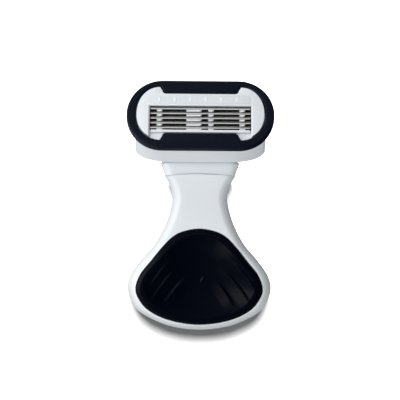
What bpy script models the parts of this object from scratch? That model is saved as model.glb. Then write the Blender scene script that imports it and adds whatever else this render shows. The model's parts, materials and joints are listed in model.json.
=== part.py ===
"""Compact five-blade body razor: a two-shell handle with a grip pad, and a refill on a pivot.

It lies on its back. X runs across, +Y from the tail of the handle to the head, and +Z up to the blades.
The origin is on the flat land under the handle. Heads of refills are drawn in their own frame: X across,
u up the face towards the cap, w out of the face, with zero at the middle of the face.
"""

import math

import bmesh
import bpy
from mathutils import Matrix, Vector

MM = 0.001

# Fits shared by all pieces
FIT_GAP = 0.3 * MM
CUT_OVERRUN = 1.0 * MM
WELD_DISTANCE = 0.001 * MM
SMOOTH_ANGLE = math.radians(32)

# Handle shells
HANDLE_LENGTH = 52.8 * MM
TAIL_REACH = 27.0 * MM
BULB_WIDTH = 48.2 * MM
HANDLE_WALL = 1.8 * MM
SEAM_HEIGHT = 8.0 * MM
FRONT_RISE = 9.0 * MM
FRONT_EDGE = 3.4 * MM
BACK_EDGE = 5.5 * MM
BULB_CENTRE_SHARE = 0.265
CENTRE_PULL_SHARE = 0.25
NECK_RISE_SHARE = 0.555
HANDLE_OUTLINE_SHARES = (
    (0.0, 0.0), (0.0125, 0.300), (0.047, 0.565), (0.125, 0.871), (0.235, 0.998), (0.335, 0.980),
    (0.44, 0.830), (0.55, 0.627), (0.68, 0.476), (0.80, 0.397), (0.87, 0.388), (0.94, 0.436),
    (1.0, 0.496),
)
FRONT_RISE_SHARES = (
    (0.0, 1.0), (0.45, 1.0), (0.62, 0.73), (0.74, 0.56), (0.80, NECK_RISE_SHARE), (1.0, 0.633),
)
BACK_DEPTH_SHARES = ((0.0, 1.0), (0.83, 1.0), (0.92, 0.94), (1.0, 0.80))
OUTLINE_STEPS = 3
EDGE_STEPS = 5

# Locating posts of the front shell in sockets of the back shell
POST_X = 13.0 * MM
POST_TAIL_DISTANCE = 15.0 * MM
POST_RADIUS = 1.5 * MM
POST_FOOT = 3.0 * MM
SOCKET_WALL = 1.2 * MM
SOCKET_TOP = 7.0 * MM

# Grip pad and its recess
PAD_TAIL_MARGIN = 2.4 * MM
PAD_NECK_MARGIN = 18.7 * MM
PAD_SIDE_MARGIN = 3.2 * MM
PAD_OUTLINE_SHARES = (
    (0.0, 0.0), (0.045, 0.470), (0.149, 0.802), (0.28, 0.965), (0.39, 1.0), (0.526, 0.922),
    (0.653, 0.769), (0.80, 0.592), (0.907, 0.434), (0.969, 0.264), (1.0, 0.0),
)
PAD_LIP = 0.6 * MM
PAD_DISH_DEPTH = 3.6 * MM
PAD_DISH_POWER = 2.6
PAD_CENTRE_SHARE = 0.42
PAD_RING_SHARES = (0.985, 0.935, 0.90, 0.82, 0.72, 0.60, 0.45, 0.25)
PAD_RIM_SHARE = 0.935
PAD_FLOOR_THICKNESS = 1.2 * MM
PAD_TUB_WALL = 1.4 * MM
PAD_STEPS = 3
RIB_RADIUS = 1.1 * MM
RIB_SINK = 0.6 * MM
RIB_STEPS = 6
RIB_END_SHARE = 0.35
RIB_LINE_SHARES = (
    ((0.813, 0.385), (0.215, 0.822)),
    ((0.748, 0.236), (0.247, 0.651)),
    ((0.52, 0.22), (0.13, 0.54)),
)

# Release button in the back shell
BUTTON_SETBACK = 18.5 * MM
BUTTON_LENGTH = 8.7 * MM
BUTTON_WIDTH = 6.8 * MM
BUTTON_RECESS = 0.5 * MM
BUTTON_FLANGE = 1.2 * MM
BUTTON_FLANGE_THICKNESS = 0.9 * MM
RELEASE_TRAVEL = 3.0 * MM
BUTTON_GROOVES = 3
BUTTON_GROOVE_WIDTH = 0.8 * MM
BUTTON_GROOVE_DEPTH = 0.4 * MM

# Ejector bar
EJECTOR_CLEARANCE = 0.7 * MM
EJECTOR_THICKNESS = 1.2 * MM
EJECTOR_WIDTH = 6.0 * MM
EJECTOR_LUG_THICKNESS = 1.5 * MM
EJECTOR_LUG_WIDTH = 5.0 * MM
EJECTOR_LUG_HEADROOM = 0.4 * MM
EJECTOR_LUG_SETBACK = 0.4 * MM
EJECTOR_HEEL = 0.6 * MM
BUTTON_POST = 3.0 * MM

# Docking nose
NOSE_BLOCK_LENGTH = 10.8 * MM
NOSE_WIDTH = 10.0 * MM
BORE_BACK_WALL = 4.0 * MM

# Plunger and the two springs
PLUNGER_RADIUS = 1.2 * MM
PLUNGER_ARM = 5.0 * MM
PLUNGER_CONTACT = 0.4 * MM
PLUNGER_SPRING_LENGTH = 7.2 * MM
PLUNGER_SPRING_RADIUS = 0.95 * MM
PLUNGER_WIRE_RADIUS = 0.17 * MM
PLUNGER_TURNS = 6
BUTTON_SPRING_RADIUS = 1.5 * MM
BUTTON_WIRE_RADIUS = 0.2 * MM
BUTTON_TURNS = 6
BUTTON_SPRING_HEADROOM = 0.8 * MM
CURL_POINTS = 9

# Connector: collar, arms and trunnions
COLLAR_LENGTH = 3.8 * MM
COLLAR_WIDTH = 26.8 * MM
COLLAR_STEP = 0.3 * MM
COLLAR_CORNER = 3.0 * MM
COLLAR_SECTION_SHARES = ((0.0, 0.888), (0.35, 0.925), (0.70, 0.985), (0.90, 1.0), (1.0, 0.98))
ARM_INSIDE = 10.2 * MM
ARM_THICKNESS = 2.7 * MM
ARM_EYE_RADIUS = 2.3 * MM
ARM_EYE_START = math.radians(-75)
ARM_EYE_FINISH = math.radians(125)
ARM_EYE_STEPS = 8
ARM_ROOT_FOOT = 3.6 * MM
ARM_ROOT_SHOULDER = 1.2 * MM
ARM_KNEE = 2.0 * MM
TRUNNION_RADIUS = 1.2 * MM
TRUNNION_LENGTH = 2.3 * MM
PIVOT_SIDE_GAP = 0.5 * MM

# Place and tilt of the head
HEAD_TILT = math.radians(30)
HEAD_OVERHANG = 0.3 * MM
HEAD_RISE = 0.5 * MM
PIVOT_EDGE_DISTANCE = 5.0 * MM
PIVOT_BACK_DISTANCE = 3.2 * MM
PIVOT_RANGE = math.radians(40)

# Blade window: its width, and what lies down the face from the cap to the lower bar
WINDOW_WIDTH = 33.8 * MM
CAP_BORDER = 0.35 * MM
STRIP_DEPTH = 3.4 * MM
CAP_EDGE = 0.7 * MM
BLADE_CAP_GAP = 1.35 * MM
BLADE_COUNT = 5
BLADE_PITCH = 1.88 * MM
BLADE_GUARD_GAP = 0.45 * MM
GUARD_WIDTH = 0.9 * MM
GUARD_BAR_GAP = 0.4 * MM
FACE_SHIFT = 0.4 * MM

# Face cover and glide strip
COVER_THICKNESS = 0.9 * MM
WING_WIDTH = 4.85 * MM
COVER_RELIEF = 0.4 * MM
STRIP_PROUD = 0.1 * MM
PIP_COUNT = 6
PIP_PITCH_SHARE = 0.1544
PIP_WIDTH = 0.6 * MM
PIP_LENGTH = 2.2 * MM
PIP_HEIGHT = 0.2 * MM

# Comfort ring
RING_SIDE_RIM = 3.1 * MM
RING_CAP_RIM = 2.5 * MM
RING_GUARD_RIM = 3.3 * MM
RING_END = 12.1 * MM
RING_THICKNESS = 2.6 * MM
RING_ROUNDING = 0.7 * MM
RING_POWER = 2.0
OPENING_END = 8.65 * MM
OPENING_POWER = 2.1
NOTCH_SETBACK = 0.1 * MM
NOTCH_ROUNDING = 0.9 * MM
BAR_DEPTH = 5.6 * MM
BAR_ROUNDING = 1.0 * MM
END_STEPS = 9
CORNER_STEPS = 3

# Cartridge tray
TRAY_SIDE_INSET = 2.95 * MM
TRAY_EDGE_INSET = 1.0 * MM
TRAY_DEPTH = 11.2 * MM
TRAY_BACK_ROUNDING = 0.6 * MM
TRAY_CORNER = 7.0 * MM
TRAY_CORNER_STRETCH = 1.5
TRAY_BACK_CORNER = 4.8 * MM
TRAY_BACK_CORNER_STRETCH = 2.3
BAY_END_REACH = 1.9 * MM
BAY_FLOOR = 3.2 * MM
GUARD_TOP = 0.5 * MM
RINSE_FLOOR = 4.5 * MM
POCKET_WALL = 1.0 * MM
POCKET_HEIGHT = 17.0 * MM
WEB_DEPTH = 5.4 * MM
WEB_WIDTH = 2.0 * MM
WEB_PLACE_SHARES = ((-0.406, 1.0), (-0.064, 2.6), (0.105, 1.0), (0.415, 1.0))
TOOTH_TOP = 1.3 * MM
TOOTH_FRONT = 0.05 * MM
CAM_WIDTH = 3.6 * MM
CAM_THICKNESS = 3.0 * MM
CAM_STEPS = 6

# Blades and their supports
BLADE_SINK = 0.3 * MM
BLADE_TILT = math.radians(24)
BLADE_WIDTH = 1.05 * MM
BLADE_THICKNESS = 0.12 * MM
BLADE_BEVEL = 0.25 * MM
BLADE_SEAT_GAP = 0.15 * MM
BLADE_END_GAP = 0.2 * MM
SUPPORT_SETBACK = 0.45 * MM
SUPPORT_REACH = 1.2 * MM
SUPPORT_THICKNESS = 0.3 * MM

# Places along the handle
HANDLE_END = HANDLE_LENGTH - TAIL_REACH
COLLAR_START = HANDLE_END + FIT_GAP
COLLAR_END = COLLAR_START + COLLAR_LENGTH
POST_Y = POST_TAIL_DISTANCE - TAIL_REACH
PAD_LENGTH = HANDLE_LENGTH - PAD_TAIL_MARGIN - PAD_NECK_MARGIN
PAD_WIDTH = BULB_WIDTH - 2 * PAD_SIDE_MARGIN
PAD_BOTTOM_Y = PAD_TAIL_MARGIN - TAIL_REACH
BUTTON_Y = HANDLE_END - BUTTON_SETBACK
EJECTOR_TIP_Y = COLLAR_START - RELEASE_TRAVEL - FIT_GAP
LUG_Y = BUTTON_Y - BUTTON_POST / 2 - FIT_GAP - EJECTOR_LUG_SETBACK
NOSE_ROOT_Y = HANDLE_END - NOSE_BLOCK_LENGTH
BORE_FLOOR_Y = NOSE_ROOT_Y + BORE_BACK_WALL

# Heights of what lies in the handle, from the back shell's floor up
EJECTOR_HEIGHT = HANDLE_WALL + FIT_GAP + BUTTON_FLANGE_THICKNESS + EJECTOR_CLEARANCE
EJECTOR_TOP = EJECTOR_HEIGHT + EJECTOR_THICKNESS
BUTTON_SPRING_HEIGHT = EJECTOR_TOP + FIT_GAP + BUTTON_SPRING_RADIUS + BUTTON_WIRE_RADIUS
PAD_FLOOR_HEIGHT = (
    BUTTON_SPRING_HEIGHT + BUTTON_SPRING_RADIUS + BUTTON_WIRE_RADIUS
    + BUTTON_SPRING_HEADROOM + PAD_FLOOR_THICKNESS
)
EJECTOR_LUG_TOP = PAD_FLOOR_HEIGHT - PAD_FLOOR_THICKNESS - EJECTOR_LUG_HEADROOM
NOSE_BOTTOM = EJECTOR_TOP + EJECTOR_CLEARANCE
NOSE_TOP = SEAM_HEIGHT + FRONT_RISE * NECK_RISE_SHARE - HANDLE_WALL - FIT_GAP
COLLAR_TOP = SEAM_HEIGHT + FRONT_RISE * FRONT_RISE_SHARES[-1][1] - COLLAR_STEP
COLLAR_BOTTOM = SEAM_HEIGHT * (1 - BACK_DEPTH_SHARES[-1][1]) + COLLAR_STEP

# Rows down the face in the head's frame, from the lower bar of the ring up to the upper one
BAR_EDGE = (
    GUARD_BAR_GAP + GUARD_WIDTH + BLADE_GUARD_GAP + (BLADE_COUNT - 1) * BLADE_PITCH
    + BLADE_CAP_GAP + CAP_EDGE + STRIP_DEPTH + CAP_BORDER + 2 * FIT_GAP
) / 2
GUARD_BAR_EDGE = BAR_EDGE - FACE_SHIFT
CAP_BAR_EDGE = BAR_EDGE + FACE_SHIFT
GUARD_EDGE = GUARD_BAR_EDGE - GUARD_BAR_GAP - GUARD_WIDTH
BLADE_TOP_EDGE = (BLADE_COUNT - 1) * BLADE_PITCH + BLADE_GUARD_GAP - GUARD_EDGE
WINDOW_TOP = BLADE_TOP_EDGE + BLADE_CAP_GAP
STRIP_LOW = WINDOW_TOP + CAP_EDGE
STRIP_HIGH = STRIP_LOW + STRIP_DEPTH
BAY_TOP = STRIP_LOW

# Ring and tray round the window
OPENING_WIDTH = WINDOW_WIDTH + 2 * WING_WIDTH
RING_WIDTH = OPENING_WIDTH + 2 * RING_SIDE_RIM
RING_HEIGHT = 2 * (BAR_EDGE + BAR_DEPTH)
CAP_NOTCH_EDGE = RING_HEIGHT / 2 - RING_CAP_RIM
GUARD_NOTCH_EDGE = RING_HEIGHT / 2 - RING_GUARD_RIM
RING_STRAIGHT = RING_WIDTH - 2 * RING_END
OPENING_STRAIGHT = OPENING_WIDTH - 2 * OPENING_END
BAR_LENGTH = OPENING_STRAIGHT - 2 * NOTCH_SETBACK
TRAY_WIDTH = RING_WIDTH - 2 * TRAY_SIDE_INSET
TRAY_HEIGHT = RING_HEIGHT - 2 * TRAY_EDGE_INSET
TRAY_TOP = RING_THICKNESS + FIT_GAP
ISLAND_TOP = COVER_THICKNESS + FIT_GAP
BAY_LENGTH = WINDOW_WIDTH + 2 * BAY_END_REACH

# Head over the collar, and the pivot in the back of the tray
TILT = Matrix.Rotation(-HEAD_TILT, 4, "X")
HEAD_FOOT = TILT @ Vector((0, TRAY_HEIGHT / 2, TRAY_DEPTH))
HEAD_Y = COLLAR_END - HEAD_OVERHANG + HEAD_FOOT.y
HEAD_Z = COLLAR_TOP + HEAD_RISE + HEAD_FOOT.z
PIVOT_U = PIVOT_EDGE_DISTANCE - TRAY_HEIGHT / 2
PIVOT_W = PIVOT_BACK_DISTANCE - TRAY_DEPTH
PIVOT = Vector((0, HEAD_Y, HEAD_Z)) + TILT @ Vector((0, PIVOT_U, PIVOT_W))
POCKET_LOW = POCKET_WALL - TRAY_HEIGHT / 2
POCKET_HIGH = POCKET_LOW + POCKET_HEIGHT
ARM_OUTSIDE = ARM_INSIDE + ARM_THICKNESS
ARM_ROOT_LOW = COLLAR_BOTTOM + ARM_ROOT_FOOT
ARM_ROOT_HIGH = COLLAR_TOP - ARM_ROOT_SHOULDER
POCKET_HALF = ARM_OUTSIDE + PIVOT_SIDE_GAP

# Plunger, worked out from the pivot it pushes on
BORE_RADIUS = PLUNGER_RADIUS + FIT_GAP
PLUNGER_HEIGHT = PIVOT.z - PLUNGER_ARM
PLUNGER_TIP_Y = PIVOT.y - PLUNGER_CONTACT - FIT_GAP
PLUNGER_TRAVEL = PLUNGER_ARM * PIVOT_RANGE
NOSE_END = PLUNGER_TIP_Y - PLUNGER_TRAVEL - FIT_GAP

# Colours and finishes: linear red, green and blue, then roughness and metallic
WHITE_SHELL = ((0.80, 0.82, 0.83), 0.30, 0.0)
WHITE_FRAME = ((0.76, 0.79, 0.80), 0.35, 0.0)
NAVY_PAD = ((0.004, 0.008, 0.022), 0.45, 0.0)
NAVY_RING = ((0.008, 0.012, 0.022), 0.60, 0.0)
GREY_MOULDING = ((0.45, 0.47, 0.48), 0.45, 0.0)
PALE_STRIP = ((0.74, 0.80, 0.80), 0.40, 0.0)
BLADE_STEEL = ((0.55, 0.56, 0.57), 0.22, 1.0)
SPRING_STEEL = ((0.40, 0.41, 0.42), 0.35, 1.0)


def clear_scene():
    """Remove whatever the open file holds."""
    for item in list(bpy.data.objects):
        bpy.data.objects.remove(item, do_unlink=True)


clear_scene()
PARTS = bpy.data.collections.new("compact_body_razor")
GUIDES = bpy.data.collections.new("cutters_and_guides")
bpy.context.scene.collection.children.link(PARTS)
bpy.context.scene.collection.children.link(GUIDES)


def finish_material(name, finish):
    """One Principled material from a colour, a roughness and a metallic value."""
    colour, roughness, metallic = finish
    material = bpy.data.materials.new(name)
    material.use_nodes = True
    shader = material.node_tree.nodes["Principled BSDF"]
    shader.inputs["Base Color"].default_value = (*colour, 1.0)
    shader.inputs["Roughness"].default_value = roughness
    shader.inputs["Metallic"].default_value = metallic
    material.diffuse_color = (*colour, 1.0)
    return material


def object_from_bmesh(name, mesh_edit):
    """Weld, turn the faces outwards and wrap a bmesh as an object."""
    bmesh.ops.remove_doubles(mesh_edit, verts=mesh_edit.verts, dist=WELD_DISTANCE)
    bmesh.ops.dissolve_degenerate(mesh_edit, edges=mesh_edit.edges, dist=WELD_DISTANCE)
    bmesh.ops.recalc_face_normals(mesh_edit, faces=mesh_edit.faces)
    mesh = bpy.data.meshes.new(name)
    mesh_edit.to_mesh(mesh)
    mesh_edit.free()
    return bpy.data.objects.new(name, mesh)


def as_part(item, finish):
    """Put an object in the parts' collection with a material of its own."""
    PARTS.objects.link(item)
    item.data.materials.clear()
    item.data.materials.append(finish_material(item.name, finish))
    item.data.shade_smooth()
    item.data.set_sharp_from_angle(angle=SMOOTH_ANGLE)
    return item


def as_guide(item):
    """Put an object among the cutters, where it is drawn as wire and not rendered."""
    GUIDES.objects.link(item)
    item.hide_render = True
    item.display_type = "WIRE"
    return item


def combine(target, tool, operation):
    """Cut a tool from a target, join it to the target or keep what they share."""
    if tool.name not in GUIDES.objects:
        as_guide(tool)
    change = target.modifiers.new(tool.name, "BOOLEAN")
    change.operation = operation
    change.solver = "EXACT"
    change.object = tool
    return target


def box(name, low, high):
    """A box between two corners."""
    low, high = Vector(low), Vector(high)
    edit = bmesh.new()
    size = high - low
    place = Matrix.Translation((low + high) / 2) @ Matrix.Diagonal((*size, 1.0))
    bmesh.ops.create_cube(edit, size=1.0, matrix=place)
    return object_from_bmesh(name, edit)


def rod(name, start, end, radius, sides=20):
    """A round rod between two points."""
    start, end = Vector(start), Vector(end)
    turn = (end - start).to_track_quat("Z", "Y").to_matrix().to_4x4()
    edit = bmesh.new()
    bmesh.ops.create_cone(
        edit, cap_ends=True, segments=sides, radius1=radius, radius2=radius,
        depth=(end - start).length, matrix=Matrix.Translation((start + end) / 2) @ turn,
    )
    return object_from_bmesh(name, edit)


def loft(name, sections):
    """A closed solid through rings of points, with a flat face at each end."""
    edit = bmesh.new()
    rings = [[edit.verts.new(point) for point in section] for section in sections]
    for lower, upper in zip(rings, rings[1:]):
        for index in range(len(lower)):
            after = (index + 1) % len(lower)
            edit.faces.new((lower[index], lower[after], upper[after], upper[index]))
    edit.faces.new(rings[0])
    edit.faces.new(rings[-1])
    return object_from_bmesh(name, edit)


def mesh_of_curve(curve, name, place):
    """The evaluated mesh of a curve, welded, as an object of its own."""
    drawn = bpy.data.objects.new(name + "_curve", curve)
    bpy.context.scene.collection.objects.link(drawn)
    bpy.context.view_layer.update()
    evaluated = drawn.evaluated_get(bpy.context.evaluated_depsgraph_get())
    mesh = bpy.data.meshes.new_from_object(evaluated)
    bpy.data.objects.remove(drawn, do_unlink=True)
    bpy.data.curves.remove(curve)
    edit = bmesh.new()
    edit.from_mesh(mesh)
    bpy.data.meshes.remove(mesh)
    edit.transform(place)
    return object_from_bmesh(name, edit)


def flat_curve(name, outlines, thickness, rounding):
    """A flat filled curve with its edges rounded."""
    curve = bpy.data.curves.new(name, "CURVE")
    curve.dimensions = "2D"
    curve.fill_mode = "BOTH"
    curve.extrude = thickness / 2 - rounding
    curve.bevel_depth = rounding
    curve.bevel_resolution = 1
    curve.offset = -rounding
    for outline in outlines:
        spline = curve.splines.new("POLY")
        spline.points.add(len(outline) - 1)
        for point, (x, y) in zip(spline.points, outline):
            point.co = (x, y, 0, 1)
        spline.use_cyclic_u = True
    return curve


def plate(name, outlines, low, high, rounding=0.0):
    """A plate with outlines in X and Y, from one height to another."""
    middle = Matrix.Translation((0, 0, (low + high) / 2))
    return mesh_of_curve(flat_curve(name, outlines, high - low, rounding), name, middle)


def side_plate(name, outline, low_x, high_x):
    """A plate whose outline is drawn in Y and Z, and which runs along X."""
    to_side = Matrix(((0, 0, 1, (low_x + high_x) / 2), (1, 0, 0, 0), (0, 1, 0, 0), (0, 0, 0, 1)))
    return mesh_of_curve(flat_curve(name, [outline], high_x - low_x, 0.0), name, to_side)


def share_at(shares, place):
    """The value of a table of shares at a place, with no overshoot between its rows."""
    place = min(max(place, shares[0][0]), shares[-1][0])
    index = max(i for i in range(len(shares) - 1) if shares[i][0] <= place)
    secants = [(b[1] - a[1]) / (b[0] - a[0]) for a, b in zip(shares, shares[1:])]

    def slope(row):
        if row == 0 or row == len(shares) - 1:
            return secants[min(row, len(secants) - 1)]
        before, after = secants[row - 1], secants[row]
        return 0.0 if before * after <= 0 else 2 * before * after / (before + after)

    run = shares[index + 1][0] - shares[index][0]
    t = (place - shares[index][0]) / run
    start, end = shares[index][1], shares[index + 1][1]
    return (
        start * (1 + 2 * t) * (1 - t) ** 2
        + end * t * t * (3 - 2 * t)
        + run * slope(index) * t * (1 - t) ** 2
        - run * slope(index + 1) * t * t * (1 - t)
    )


def smooth_line(points, before, after, steps):
    """Points on a smooth curve through the given points, which it includes."""
    chain = [Vector(point) for point in (before, *points, after)]
    line = []
    for a, b, c, d in zip(chain, chain[1:], chain[2:], chain[3:]):
        for step in range(steps):
            t = step / steps
            line.append(
                (b * 2 + (c - a) * t + (a * 2 - b * 5 + c * 4 - d) * t ** 2
                 + (b * 3 - a - c * 3 + d) * t ** 3) / 2
            )
    line.append(Vector(points[-1]))
    return line


def mirrored(point):
    """The same point on the other side of the razor."""
    return (-point[0], point[1])


def inset_line(line, distance):
    """An open line moved to its left by a distance, and cut off square where it ends."""
    moved = []
    for index, point in enumerate(line):
        along = line[min(index + 1, len(line) - 1)] - line[max(index - 1, 0)]
        if point.x == 0:
            along.y = 0
        if index == len(line) - 1:
            along.x = 0
        along.normalize()
        moved.append(point + Vector((-along.y, along.x)) * distance)
    end = moved.pop()
    return [point for point in moved if point.y < end.y - FIT_GAP] + [end]


def handle_line():
    """The right half of the handle's outline, from its tail to its end at the collar."""
    points = [
        (width * BULB_WIDTH / 2, place * HANDLE_LENGTH - TAIL_REACH)
        for place, width in HANDLE_OUTLINE_SHARES
    ]
    after = (2 * points[-1][0] - points[-2][0], 2 * points[-1][1] - points[-2][1])
    return smooth_line(points, mirrored(points[1]), after, OUTLINE_STEPS)


def front_rise(y):
    """How far the front shell stands over the seam at a place along the handle."""
    return FRONT_RISE * share_at(FRONT_RISE_SHARES, (y + TAIL_REACH) / HANDLE_LENGTH)


def back_depth(y):
    """How far the back shell reaches under the seam at a place along the handle."""
    return SEAM_HEIGHT * share_at(BACK_DEPTH_SHARES, (y + TAIL_REACH) / HANDLE_LENGTH)


def casing(name, rise, edge, side, inset=0.0, skirt=0.0, end_run=0.0):
    """A closed half of the handle: the seam's outline, rounded over up (side 1) or down (side -1)."""
    line = inset_line(handle_line(), inset)
    if end_run:
        line.append(line[-1] + Vector((0, end_run)))
    focus = BULB_CENTRE_SHARE * HANDLE_LENGTH - TAIL_REACH
    edge -= inset
    edit = bmesh.new()
    columns = []
    for point in line:
        centre_y = point.y if point.y > focus else focus + (point.y - focus) * CENTRE_PULL_SHARE
        inward = (Vector((0, centre_y)) - point).normalized()
        column = []
        for step in range(EDGE_STEPS + 1):
            angle = math.pi / 2 * step / EDGE_STEPS
            flat = point + inward * edge * (1 - math.cos(angle))
            height = (rise(flat.y) - FIT_GAP / 2 - inset) * math.sin(angle) - skirt * (step == 0)
            column.append((flat.x, flat.y, SEAM_HEIGHT + side * (FIT_GAP / 2 + height)))
        top = SEAM_HEIGHT + side * (rise(centre_y) - inset)
        column.append((0, centre_y, top))
        columns.append(column)
    halves = []
    for hand in (1, -1):
        half = [[edit.verts.new((hand * x, y, z)) for x, y, z in column] for column in columns]
        halves.append(half)
        for here, there in zip(half, half[1:]):
            for low in range(len(here) - 1):
                edit.faces.new((here[low], there[low], there[low + 1], here[low + 1]))
    right, left = halves
    edit.faces.new([column[0] for column in right] + [column[0] for column in reversed(left)])
    edit.faces.new(right[-1] + list(reversed(left[-1][:-1])))
    return object_from_bmesh(name, edit)


def closed_offset(outline, distance):
    """A closed anticlockwise outline moved outwards by a distance."""
    count = len(outline)
    moved = []
    for index in range(count):
        here = Vector(outline[index])
        along = Vector(outline[(index + 1) % count]) - Vector(outline[index - 1])
        along.normalize()
        moved.append(here + Vector((along.y, -along.x)) * distance)
    return moved


def pad_outline():
    """The grip pad's outline, anticlockwise from its lowest point."""
    points = [
        (width * PAD_WIDTH / 2, place * PAD_LENGTH + PAD_BOTTOM_Y)
        for place, width in PAD_OUTLINE_SHARES
    ]
    line = smooth_line(points, mirrored(points[1]), mirrored(points[-2]), PAD_STEPS)
    return line + [Vector(mirrored(point)) for point in reversed(line[1:-1])]


PAD_OUTLINE = pad_outline()
PAD_CENTRE = Vector((0, PAD_BOTTOM_Y + PAD_CENTRE_SHARE * PAD_LENGTH))


def pad_height(point, ring_share):
    """Height of the pad's surface, with a raised rim round a dish."""
    rim = SEAM_HEIGHT + front_rise(point.y) + PAD_LIP
    inside = min(ring_share / PAD_RIM_SHARE, 1.0)
    return rim - PAD_DISH_DEPTH * (1 - inside ** PAD_DISH_POWER)


def pad_ring_share(point):
    """How far a point is from the pad's centre to its outline, from 0 to 1."""
    away = point - PAD_CENTRE
    for a, b in zip(PAD_OUTLINE, PAD_OUTLINE[1:] + PAD_OUTLINE[:1]):
        edge = b - a
        across = away.cross(edge)
        if across == 0:
            continue
        reach = (a - PAD_CENTRE).cross(edge) / across
        along = (a - PAD_CENTRE).cross(away) / across
        if reach > 0 and 0 <= along <= 1:
            return 1 / reach
    return 0.0


def build_grip_pad():
    """Soft pad: a flat base, a raised rim, a dish and three slanted ribs a side."""
    base = PAD_FLOOR_HEIGHT + FIT_GAP
    shoulder = PAD_LIP / 2
    edit = bmesh.new()
    rings = []
    for drop in (None, shoulder):
        ring = []
        for point in PAD_OUTLINE:
            height = base if drop is None else pad_height(point, 1.0) - drop
            ring.append(edit.verts.new((point.x, point.y, height)))
        rings.append(ring)
    for share in PAD_RING_SHARES:
        ring = []
        for point in PAD_OUTLINE:
            place = PAD_CENTRE + (point - PAD_CENTRE) * share
            ring.append(edit.verts.new((place.x, place.y, pad_height(place, share))))
        rings.append(ring)
    for outer, inner in zip(rings, rings[1:]):
        for index in range(len(outer)):
            after = (index + 1) % len(outer)
            edit.faces.new((outer[index], outer[after], inner[after], inner[index]))
    middle = edit.verts.new((PAD_CENTRE.x, PAD_CENTRE.y, pad_height(PAD_CENTRE, 0.0)))
    for index in range(len(rings[-1])):
        edit.faces.new((rings[-1][index], rings[-1][(index + 1) % len(rings[-1])], middle))
    edit.faces.new(rings[0])
    pad = as_part(object_from_bmesh("grip_pad", edit), NAVY_PAD)
    for hand in (1, -1):
        for number, ends in enumerate(RIB_LINE_SHARES):
            rib = pad_rib(f"pad_rib_{number}_{'right' if hand > 0 else 'left'}", ends, hand)
            combine(pad, rib, "UNION")
    return pad


def pad_rib(name, ends, hand):
    """One rib of the pad, a tube half sunk into the dish along a slanted line."""
    start, end = (
        Vector((hand * width * PAD_WIDTH / 2, place * PAD_LENGTH + PAD_BOTTOM_Y))
        for width, place in ends
    )
    curve = bpy.data.curves.new(name, "CURVE")
    curve.dimensions = "3D"
    curve.bevel_depth = RIB_RADIUS
    curve.bevel_resolution = 1
    curve.use_fill_caps = True
    spline = curve.splines.new("POLY")
    spline.points.add(RIB_STEPS)
    for step, point in enumerate(spline.points):
        t = step / RIB_STEPS
        flat = start.lerp(end, t)
        height = pad_height(flat, pad_ring_share(flat)) - RIB_SINK
        point.co = (flat.x, flat.y, height, 1)
        point.radius = RIB_END_SHARE + (1 - RIB_END_SHARE) * math.sin(math.pi * t)
    return mesh_of_curve(curve, name, Matrix.Identity(4))


def build_front_shell():
    """White front half, hollow, with a walled recess for the pad and two locating posts."""
    shell = as_part(casing("handle_front_shell", front_rise, FRONT_EDGE, 1), WHITE_SHELL)
    hollow = casing(
        "front_hollow", front_rise, FRONT_EDGE, 1,
        inset=HANDLE_WALL, skirt=CUT_OVERRUN, end_run=CUT_OVERRUN,
    )
    above = SEAM_HEIGHT + FRONT_RISE + CUT_OVERRUN
    tub_outline = closed_offset(PAD_OUTLINE, FIT_GAP + PAD_TUB_WALL)
    tub = plate("pad_tub", [tub_outline], PAD_FLOOR_HEIGHT - PAD_FLOOR_THICKNESS, above)
    combine(hollow, tub, "DIFFERENCE")
    combine(shell, hollow, "DIFFERENCE")
    recess = plate("pad_recess", [closed_offset(PAD_OUTLINE, FIT_GAP)], PAD_FLOOR_HEIGHT, above)
    combine(shell, recess, "DIFFERENCE")
    for name, x in (("post_left", -POST_X), ("post_right", POST_X)):
        top = PAD_FLOOR_HEIGHT - PAD_FLOOR_THICKNESS / 2
        combine(shell, rod(name, (x, POST_Y, POST_FOOT), (x, POST_Y, top), POST_RADIUS), "UNION")
    return shell


def build_back_shell():
    """White back half, hollow, with the land it lies on, the button's slot and two sockets."""
    shell = as_part(casing("handle_back_shell", back_depth, BACK_EDGE, -1), WHITE_SHELL)
    hollow = casing(
        "back_hollow", back_depth, BACK_EDGE, -1,
        inset=HANDLE_WALL, skirt=CUT_OVERRUN, end_run=CUT_OVERRUN,
    )
    combine(shell, hollow, "DIFFERENCE")
    half = BUTTON_WIDTH / 2 + FIT_GAP
    low = BUTTON_Y - BUTTON_LENGTH / 2 - FIT_GAP
    high = BUTTON_Y + BUTTON_LENGTH / 2 + RELEASE_TRAVEL + FIT_GAP
    slot = box("button_slot", (-half, low, -CUT_OVERRUN), (half, high, HANDLE_WALL + CUT_OVERRUN))
    combine(shell, slot, "DIFFERENCE")
    bore = POST_RADIUS + FIT_GAP
    for name, x in (("socket_left", -POST_X), ("socket_right", POST_X)):
        foot, top = (x, POST_Y, HANDLE_WALL / 2), (x, POST_Y, SOCKET_TOP)
        combine(shell, rod(name, foot, top, bore + SOCKET_WALL), "UNION")
        floor = (x, POST_Y, POST_FOOT - FIT_GAP)
        above = (x, POST_Y, SOCKET_TOP + CUT_OVERRUN)
        combine(shell, rod(name + "_bore", floor, above, bore), "DIFFERENCE")
    return shell


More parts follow.
